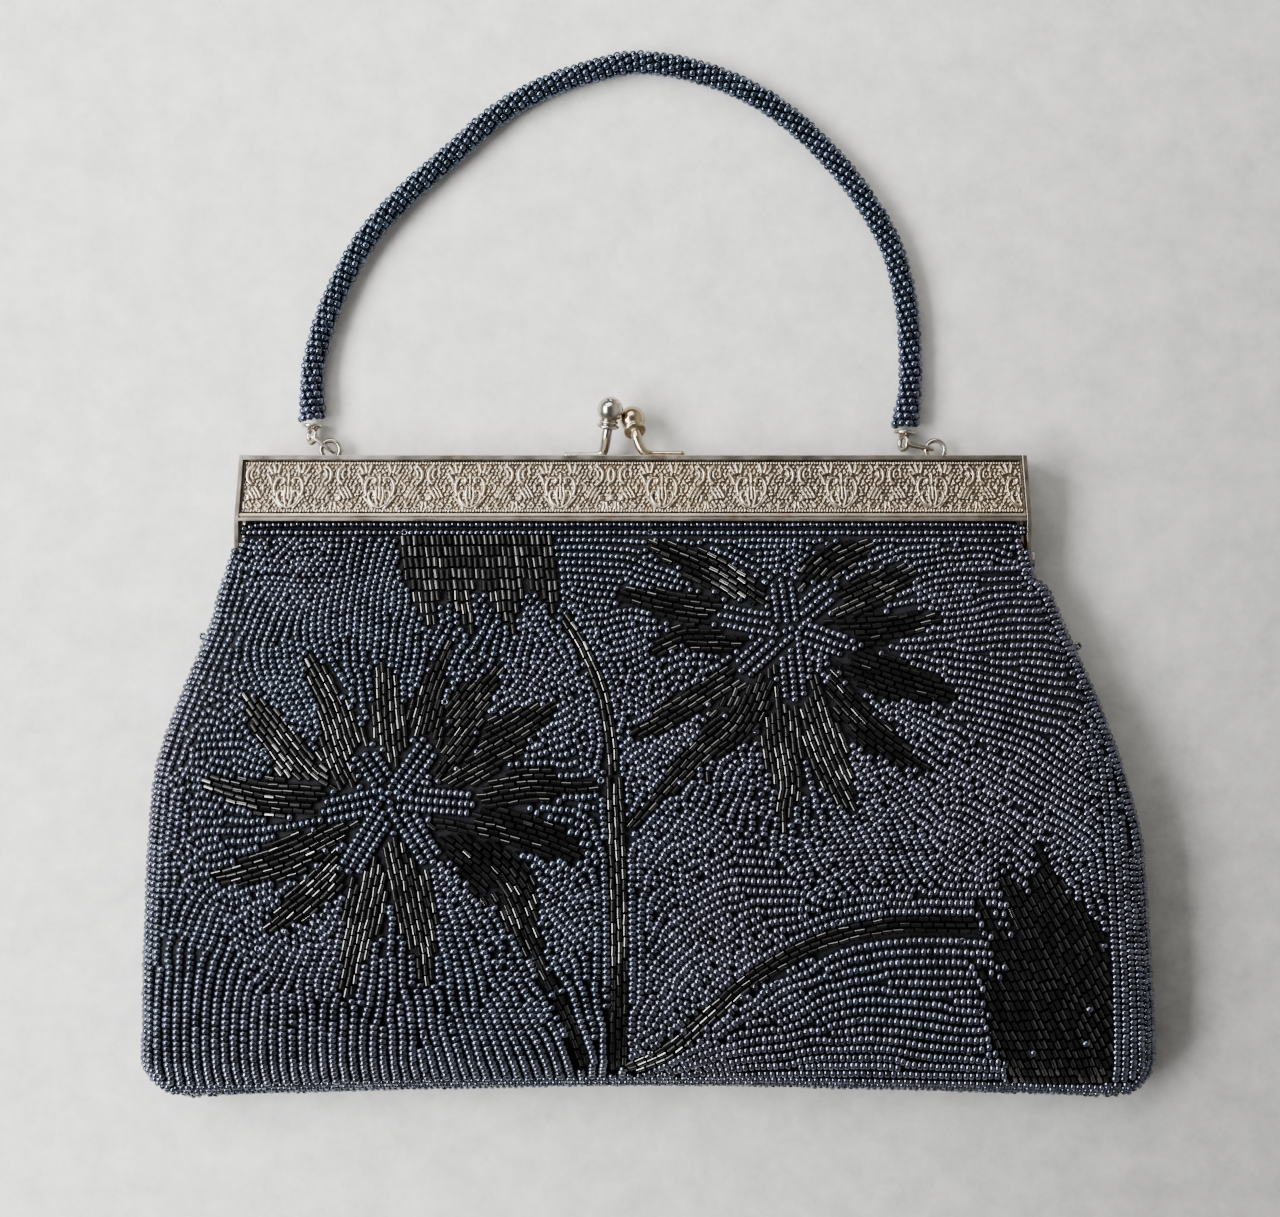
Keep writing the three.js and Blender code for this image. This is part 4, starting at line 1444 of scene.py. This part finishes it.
def pouch_shell(depth_out, depth_in):
    """A lofted shell, open at the mouth, with an outer and an inner face."""
    drops = np.concatenate([np.linspace(SECTION_ROWS[0][0], 150, 60), np.linspace(151, POUCH_BOTTOM, 14)])
    crown = np.cos(np.linspace(0, np.pi, CROWN_POINTS))
    crown = np.sign(crown) * np.abs(crown) ** 0.8
    back = crown[::-1][1:-1]
    around = np.concatenate([crown, back])
    rings = []
    for depth, order in ((depth_out, drops), (depth_in, drops[::-1])):
        for drop in order:
            form = section_of(drop, depth)
            low_z = underside_height(form, back)
            arm = FRAME_WIDTH / 2 * lean_at(-drop) - 2 * ARM_THICKNESS - 2 * JAW_GAP
            over_arm = min(float(arm_height(drop)) + JAW_GAP, form.widest)
            beyond_arm = np.abs(form.middle + form.half * back) > arm
            low_z = np.where(beyond_arm, np.maximum(low_z, over_arm), low_z)
            x = form.middle + form.half * around
            y = -drop * (1 - depth / POUCH_BOTTOM) + form.lift * (1 - around**2)
            rings.append(np.stack([x, y, np.concatenate([crown_height(form, crown), low_z])], axis=1))

    sides, half = len(around), len(drops)
    wall = grid_faces(half, sides)
    upper = np.arange(CROWN_POINTS)
    under = np.array([0, *range(sides - 1, CROWN_POINTS - 1, -1), CROWN_POINTS - 1])
    end = np.stack([upper[:-1], upper[1:], under[1:], under[:-1]], axis=1)
    mouth = np.arange(sides)
    after = np.roll(mouth, -1)
    last = (2 * half - 1) * sides
    faces = [
        wall,
        wall + half * sides,
        end + (half - 1) * sides,
        end[:, ::-1] + half * sides,
        np.stack([mouth, last + mouth, last + after, after], axis=1),
    ]
    return np.concatenate(rings), np.concatenate(faces)


def wear(obj, slot, *nodes):
    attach(obj, "root")
    if nodes:
        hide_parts(*nodes)


corners, faces = pouch_shell(CLOTH_DEPTH, WALL_DEPTH)
cloth = new_mesh("pouch_cloth", corners, faces, CLOTH_LOOK)
wear(cloth, "bag_cloth", "pouch")

# Beads on the front
front_seeds, front_bugles = lay_front()
plan, heading = front_seeds.arrays()
places, along, up = seat_on_front(plan, heading, SEED_DIAMETER / 2)
turned = [int(np.argmin(np.hypot(plan[:, 0] - x, plan[:, 1] + drop))) for x, drop in TURNED_BEADS]
on_string = np.ones(len(plan), bool)
on_string[turned] = False
left_side = plan[:, 0] < 0
for name, half in (("seed_beads_front_left", left_side), ("seed_beads_front_right", ~left_side)):
    chosen = half & on_string
    beads = (places[chosen], along[chosen], up[chosen])
    radii = SEED_DIAMETER / 2 * string_gap(plan[chosen, 1]) / STRING_GAP
    piece = strew(name, FRONT_SEED, beads, SEED_LENGTH, radii[:, None, None], SEED_LOOK)
    wear(piece, "seed_beads")

X_AXIS, Y_AXIS, Z_AXIS = np.eye(3)
rings = [ring_part(places[bead], X_AXIS, Y_AXIS, TURNED_RADIUS, TURNED_WIRE) for bead in turned]
rings += [ring_part((x, -drop, z), X_AXIS, Y_AXIS, TURNED_RADIUS, TURNED_WIRE) for x, drop, z in STRAY_BEADS]
wear(joined_parts("seed_beads_turned", rings, SEED_LOOK, tone=0.95), "seed_beads")

plan, heading = front_bugles.arrays()
beads = seat_on_front(plan, heading, BUGLE_DIAMETER / 2 + BUGLE_SINK)
piece = strew("bugle_beads_front", BUGLE, beads, BUGLE_LENGTH, BUGLE_DIAMETER / 2, BUGLE_LOOK, 0.02, 0.07)
wear(piece, "bugle_beads")

# Beads round the edges and over the back
crowd = Crowd(LEAST_BEAD_GAP)
for place in places:
    crowd.add(place)
edge_beads = []
for side in (-1, 1):
    for line, outward in zip(*rows_round_the_sides(side)):
        edge_beads += strung(line, outward, crowd)
for line, outward in zip(*rows_round_the_bottom()):
    edge_beads += strung(line, outward, crowd)
edge_beads = [bead for bead in edge_beads if clear_of_frame(bead[0])]
back_beads = []
for line in rows_over_the_back():
    back_beads += strung(line, np.tile(-Z_AXIS, (len(line), 1)), crowd)
for name, template, beads in (
    ("seed_beads_edges", EDGE_SEED, edge_beads),
    ("seed_beads_back", BACK_SEED, back_beads),
):
    piece = strew(name, template, as_arrays(beads), SEED_LENGTH, SEED_DIAMETER / 2, SEED_LOOK)
    wear(piece, "seed_beads")


# Beaded rope


def rope_beads():
    """Beads wound round the rope in one long turn after another, and the length of each."""
    line, heading = smooth_line(ROPE_POINTS, 0.1)
    lengths = line_lengths(line)
    count = int(lengths[-1] / ROPE_TURN * ROPE_BEADS_PER_TURN)
    index = np.arange(count)
    at = ROPE_END_ROOM + index * (lengths[-1] - 2 * ROPE_END_ROOM) / (count - 1)
    turn = 2 * np.pi * index / ROPE_BEADS_PER_TURN
    x, y = read_off(at, lengths, line).T
    along_x, along_y = read_off(at, lengths, heading).T
    to_end = np.minimum(at, lengths[-1] - at)
    ring = ROPE_BEAD_RING + ROPE_END_FLARE * np.clip(1 - to_end / ROPE_END_LENGTH, 0, 1)
    flat = np.zeros_like(x)
    side = np.stack([-along_y, along_x, flat], axis=1)
    upright = np.stack([flat, flat, flat + 1], axis=1)
    outward = np.cos(turn)[:, None] * side + np.sin(turn)[:, None] * upright
    round_it = np.cos(turn)[:, None] * upright - np.sin(turn)[:, None] * side
    forward = np.stack([along_x, along_y, flat], axis=1)
    tilt = ROPE_TURN / (2 * np.pi * ROPE_BEAD_RING)
    places = np.stack([x, y, flat + ROPE_HEIGHT], axis=1) + outward * ring[:, None]
    places[:, 2] = np.maximum(places[:, 2], ROPE_LOWEST)
    bead_lengths = SEED_LENGTH * ring / ROPE_BEAD_RING
    return (places, unit(round_it + tilt * forward), outward), bead_lengths[:, None, None]


beads, bead_lengths = rope_beads()
rope = strew("seed_beads_rope", FRONT_SEED, beads, bead_lengths, ROPE_BEAD_RADIUS, ROPE_LOOK, 0.02, 0.02)
wear(rope, "seed_beads", "handle_rope")


# Metal frame


def placed(x, y, z):
    """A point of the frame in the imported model's metres, with the lean of the frame's sides."""
    return ((x * lean_at(y) + SHIFT[0]) * MM, (y + SHIFT[1]) * MM, z * MM)


def prisms_object(name, prisms, material):
    """Outlines of (y, z) points pushed along x between two ends, with rounded edges."""
    build = bmesh.new()
    for outline, from_x, to_x in prisms:
        first = [build.verts.new(placed(from_x, y, z)) for y, z in outline]
        second = [build.verts.new(placed(to_x, y, z)) for y, z in outline]
        build.faces.new(first)
        build.faces.new(second[::-1])
        for i in range(len(outline)):
            after = (i + 1) % len(outline)
            build.faces.new((first[i], first[after], second[after], second[i]))
    bmesh.ops.recalc_face_normals(build, faces=build.faces)
    mesh = bpy.data.meshes.new(name)
    build.to_mesh(mesh)
    build.free()
    mesh.polygons.foreach_set("use_smooth", np.ones(len(mesh.polygons), bool))
    mesh.materials.append(material)
    obj = add_object(name, mesh)
    rounding = obj.modifiers.new("rounded_edges", "BEVEL")
    rounding.width = EDGE_ROUNDING * MM
    rounding.segments = 2
    rounding.limit_method = "ANGLE"
    rounding.angle_limit = math.radians(35)
    rounding.harden_normals = True
    return obj


def jaw_outlines(is_back):
    """The channel and the arm of a jaw, as (y, z) outlines."""
    low = (FRAME_DEPTH + JAW_GAP) / 2
    inner = FRAME_HEIGHT - BOTTOM_RIM
    rim = [(-inner - below, FRAME_DEPTH - under) for below, under in RIM_PROFILE]
    sheet_back = TRAY_FLOOR - SHEET
    channel = [
        (0, low), (0, FRAME_DEPTH), (-TOP_RIM, FRAME_DEPTH), (-TOP_RIM, TRAY_FLOOR), (-inner, TRAY_FLOOR),
        *rim, (-FRAME_HEIGHT, sheet_back), (-TOP_RIM, sheet_back), (-TOP_RIM, low),
    ]
    arm = [(-HINGE_DROP + HINGE_EYE * 1.6, low), (0, low), (0, FRAME_DEPTH), (-FRAME_HEIGHT, FRAME_DEPTH)]
    for turn in np.radians(np.linspace(*EYE_ARC)):
        arm.append((-HINGE_DROP + HINGE_EYE * math.cos(turn), FRAME_DEPTH / 2 + HINGE_EYE * math.sin(turn)))
    if is_back:
        return [[(y, FRAME_DEPTH - z) for y, z in outline] for outline in (channel, arm)]
    return [channel, arm]


def add_jaw(name, is_back, material):
    channel, arm = jaw_outlines(is_back)
    outer = FRAME_WIDTH / 2 - (ARM_THICKNESS + JAW_GAP if is_back else 0)
    reach = FRAME_WIDTH / 2 if is_back else outer - ARM_THICKNESS
    prisms = [(channel, -reach, reach)]
    for side in (-1, 1):
        prisms.append((arm, side * outer, side * (outer - ARM_THICKNESS)))
    return prisms_object(name, prisms, material)


def stud_parts(stud):
    """The bent foot and post of a stud, and its turned head."""
    ball = np.array(stud["ball"])
    outwards = math.copysign(1, stud["foot_end"] - stud["post_x"])
    foot_y = STUD_FOOT - 0.1
    route = np.array([
        (stud["foot_end"], foot_y, stud["foot_z"]),
        (stud["post_x"] + outwards * 2.6, foot_y, stud["foot_z"]),
        (stud["post_x"] + outwards * 0.7, foot_y + 0.5, stud["foot_z"]),
        stud["bend"],
        stud["ball"],
    ])
    lengths = line_lengths(route)
    wanted = np.linspace(0, lengths[-1], 40)
    line = read_smoothly(wanted, lengths, route)
    radii = np.interp(wanted, lengths, (STUD_FOOT, STUD_FOOT, STUD_POST * 0.9, STUD_POST, STUD_POST))
    radii[0] = 0.05
    axis = unit(ball - np.array(stud["bend"]))
    return [tube_mesh(line, radii, 14), turned_part(ball, axis, STUD_HEAD, 28)]


def from_lug(end, reach):
    """The place at a reach along the link from its lug."""
    return np.array([end["side"] * LUG_X, LUG_Y, LUG_Z]) + reach * flat_direction(end["link_angle"])


def link_part(end):
    """A long link that stands on edge, through the lug and the eye."""
    run = flat_direction(end["link_angle"])
    middle = from_lug(end, end["link_reach"])
    stretch = (LINK_LENGTH - LINK_WIDTH) / 2
    return ring_part(middle, run, Z_AXIS, LINK_WIDTH / 2 - LINK_WIRE, LINK_WIRE, stretch)


def cap_parts(end):
    """The turned cap of the rope's end and the eye soldered to it."""
    eye = from_lug(end, end["eye_reach"])
    axis = flat_direction(90 + end["lean"])
    turn = math.radians(end["eye_turn"])
    across = math.cos(turn) * flat_direction(end["lean"]) + math.sin(turn) * Z_AXIS
    cap = turned_part(eye, axis, CAP_PROFILE, 24)
    return [cap, ring_part(eye, axis, across, EYE_RADIUS, EYE_WIRE)]


def line_distance(x, y, points):
    """How far plan points lie from a line of points."""
    nearest = np.full(x.shape, np.inf)
    for (x0, y0), (x1, y1) in zip(points, points[1:]):
        run_x, run_y = x1 - x0, y1 - y0
        share = np.clip(((x - x0) * run_x + (y - y0) * run_y) / (run_x**2 + run_y**2), 0, 1)
        nearest = np.minimum(nearest, np.hypot(x - x0 - share * run_x, y - y0 - share * run_y))
    return nearest


def dome(distance, radius):
    return np.sqrt(np.clip(1 - (distance / radius) ** 2, 0, 1))


def band_heights(x, y):
    """Heights of the embossed ornament over its ground."""
    across = np.min([np.abs(x - heart) for heart in HEARTS_AT], axis=0)
    across = np.where(across > HALF_REPEAT, 2 * HALF_REPEAT - across, across)
    up = y - (BAND_TOP + BAND_BOTTOM) / 2
    height = np.zeros(x.shape)
    for half_width, rise, points in BAND_STROKES:
        line, _ = smooth_line(points, 0.25)
        distance = line_distance(across, up, [tuple(point) for point in line])
        height = np.maximum(height, rise * dome(distance, half_width * STROKE_SPREAD))
    for dot_x, dot_y, radius in BAND_DOTS:
        height = np.maximum(height, BAND_DOT_HEIGHT * dome(np.hypot(across - dot_x, up - dot_y), radius))
    tall = (BAND_TOP - BAND_BOTTOM) / 2
    to_pearl = (x + PEARL_PITCH / 2) % PEARL_PITCH - PEARL_PITCH / 2
    for edge in (1, -1):
        pearl = np.hypot(to_pearl / PEARL_LENGTH, (up - edge * (tall - PEARL_INSET)) / PEARL_WIDTH)
        height = np.maximum(height, PEARL_HEIGHT * dome(pearl, 1))
    return height


def stipple(x, y):
    """A ground of small raised dots, none quite in line."""
    row = np.floor(y / DOT_ROW)
    along = x / DOT_PITCH + 0.5 * (row % 2) + 0.12 * np.sin(row * 2.3)
    off_x = (along - np.floor(along) - 0.5) * DOT_PITCH
    off_y = (y / DOT_ROW - row - 0.5) * DOT_ROW
    return DOT_HEIGHT * dome(np.hypot(off_x, off_y), DOT_RADIUS)


def add_band(material):
    columns = int(2 * BAND_REACH / BAND_STEP)
    rows = int((BAND_TOP - BAND_BOTTOM) / BAND_STEP)
    across = np.linspace(-BAND_REACH, BAND_REACH, columns)
    x, y = np.meshgrid(across, np.linspace(BAND_BOTTOM, BAND_TOP, rows))
    height = band_heights(x, y)
    height = np.where(height < GROUND_BELOW, np.maximum(height, stipple(x, y)), height)
    z = BAND_FLOOR + height
    for border in (np.s_[0, :], np.s_[-1, :], np.s_[:, 0], np.s_[:, -1]):
        z[border] = TRAY_FLOOR + BORDER_LIFT
    corners = np.stack([x * lean_at(y), y, z], axis=-1).reshape(-1, 3)
    faces = grid_faces(rows, columns, ring=False)
    # Painted shade: the band's colour darkens towards its right end, away from the window
    darkening = np.clip((x / BAND_REACH - RIGHT_SHADE_START) / (1 - RIGHT_SHADE_START), 0, 1)
    tones = np.clip(height / BRIGHT_HEIGHT, 0, 1) * (1 - RIGHT_SHADE_DEPTH * darkening)
    return new_mesh("band_relief", corners, faces, material, tones.ravel())


wear(add_jaw("front_jaw", False, NICKEL_LOOK), "frame_metal", "frame_front")
wear(add_jaw("back_jaw", True, NICKEL_LOOK), "frame_metal", "frame_back")
wear(joined_parts("front_stud", stud_parts(STUDS["right"]), BRASS_LOOK), "frame_metal")
wear(joined_parts("back_stud", stud_parts(STUDS["left"]), SILVER_LOOK), "frame_metal")
lugs = [ring_part((side * LUG_X, LUG_Y, LUG_Z), X_AXIS, Y_AXIS, LUG_RADIUS, LUG_WIRE) for side in (-1, 1)]
wear(joined_parts("handle_lugs", lugs, SILVER_LOOK), "frame_metal")
wear(add_band(BAND_LOOK), "frame_metal", "band_front")
for name, end in HANDLE_ENDS.items():
    wear(joined_parts(f"rope_link_{name}", [link_part(end)], SILVER_LOOK), "frame_metal", f"link_{name}")
    wear(joined_parts(f"rope_cap_{name}", cap_parts(end), SILVER_LOOK), "frame_metal", f"handle_cap_{name}")

for name in ("hinge_rivet_left", "hinge_rivet_right"):
    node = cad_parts[name]
    node.data.materials.clear()
    node.data.materials.append(SILVER_LOOK)


# Floor, light and camera

# Lengths of the floor and the windows are metres
FLOOR_HALF = 1.6
FLOOR_LEVEL = -0.0003

# Painted shade: the floor's colour darkens away from the window: the way it goes, and where it starts and ends
# along it
SHADE_WAY = (1, -0.4, 0)
FLOOR_SHADE_SPAN = (-0.13, 0.2)

# The room's light from the left to the right
ROOM_LIGHT = (
    (0.0, (0.42, 0.44, 0.47)),
    (0.3, (0.17, 0.18, 0.2)),
    (0.5, (0.12, 0.12, 0.125)),
    (0.68, (0.27, 0.265, 0.255)),
    (0.85, (0.62, 0.6, 0.57)),
    (1.0, (0.7, 0.68, 0.65)),
)

# Windows, all turned to one point
LIGHT_AIM = (0, -0.02, 0)
WINDOWS = {
    "window": {
        "place": (-1.25, -0.04, 1.12), "size": (1.5, 0.7), "energy": 67, "colour": (0.99, 0.99, 1.0),
    },
    "second_window": {
        "place": (-0.4, 1.1, 1.1), "size": (1.3, 0.8), "energy": 16, "colour": (1.0, 0.98, 0.94),
    },
}


def floor_look():
    look = Look("pale_floor")
    pale, dusky = (0.78, 0.77, 0.75), (0.55, 0.55, 0.535)
    mottle = look.ramp(look.noise(90, 8, 0.75), (0.3, dusky), (0.68, pale))
    along = look.node("ShaderNodeVectorMath", operation="DOT_PRODUCT")
    along.inputs[1].default_value = SHADE_WAY
    look.tree.links.new(look.place, along.inputs[0])
    share = look.node("ShaderNodeMapRange")
    share.inputs["From Min"].default_value, share.inputs["From Max"].default_value = FLOOR_SHADE_SPAN
    look.tree.links.new(along.outputs["Value"], share.inputs["Value"])
    # Painted shade: the floor's colour darkens away from the window
    painted_shade = look.ramp(share.outputs["Result"], (0.0, 1.0), (0.3, 0.93), (1.0, 0.44))
    look.link(look.mix(1.0, mottle, painted_shade, "MULTIPLY"), "Base Color")
    look.bump(look.noise(220, 5), 0.12, 0.0006)
    return look.set(roughness=0.8).material


def add_floor():
    mesh = bpy.data.meshes.new("floor")
    corners = [(x * FLOOR_HALF, y * FLOOR_HALF, FLOOR_LEVEL) for x, y in ((-1, -1), (1, -1), (1, 1), (-1, 1))]
    mesh.from_pydata(corners, [], [(0, 1, 2, 3)])
    mesh.materials.append(floor_look())
    floor = add_object("floor", mesh)


def add_area_light(name, place, size, energy, colour):
    data = bpy.data.lights.new(name, "AREA")
    data.shape = "RECTANGLE"
    data.size, data.size_y = size
    data.energy = energy
    data.color = colour
    light = add_object(name, data)
    light.location = place
    light.rotation_euler = (Vector(LIGHT_AIM) - Vector(place)).to_track_quat("-Z", "Y").to_euler()


def add_world():
    """A room that is light at both sides and dark overhead."""
    world = bpy.data.worlds.new("soft_room")
    world.use_nodes = True
    tree = world.node_tree
    direction = tree.nodes.new("ShaderNodeTexCoord").outputs["Generated"]
    parts = tree.nodes.new("ShaderNodeSeparateXYZ")
    share = tree.nodes.new("ShaderNodeMapRange")
    share.inputs["From Min"].default_value = -1
    ramp = tree.nodes.new("ShaderNodeValToRGB")
    fill_ramp(ramp, ROOM_LIGHT)
    tree.links.new(direction, parts.inputs["Vector"])
    tree.links.new(parts.outputs["X"], share.inputs["Value"])
    tree.links.new(share.outputs["Result"], ramp.inputs["Fac"])
    tree.links.new(ramp.outputs["Color"], tree.nodes["Background"].inputs["Color"])
    bpy.context.scene.world = world


def add_camera():
    data = bpy.data.cameras.new("camera")
    data.lens = LENS
    data.sensor_width = SENSOR
    data.sensor_fit = "HORIZONTAL"
    camera = add_object("camera", data)
    camera.location = (np.array([*CAMERA_AIM, CAMERA_HEIGHT]) + SHIFT) * MM
    bpy.context.scene.camera = camera


add_floor()
add_world()
for name, window in WINDOWS.items():
    add_area_light(name, **window)
bpy.context.scene.view_settings.look = "AgX - Medium High Contrast"
add_camera()
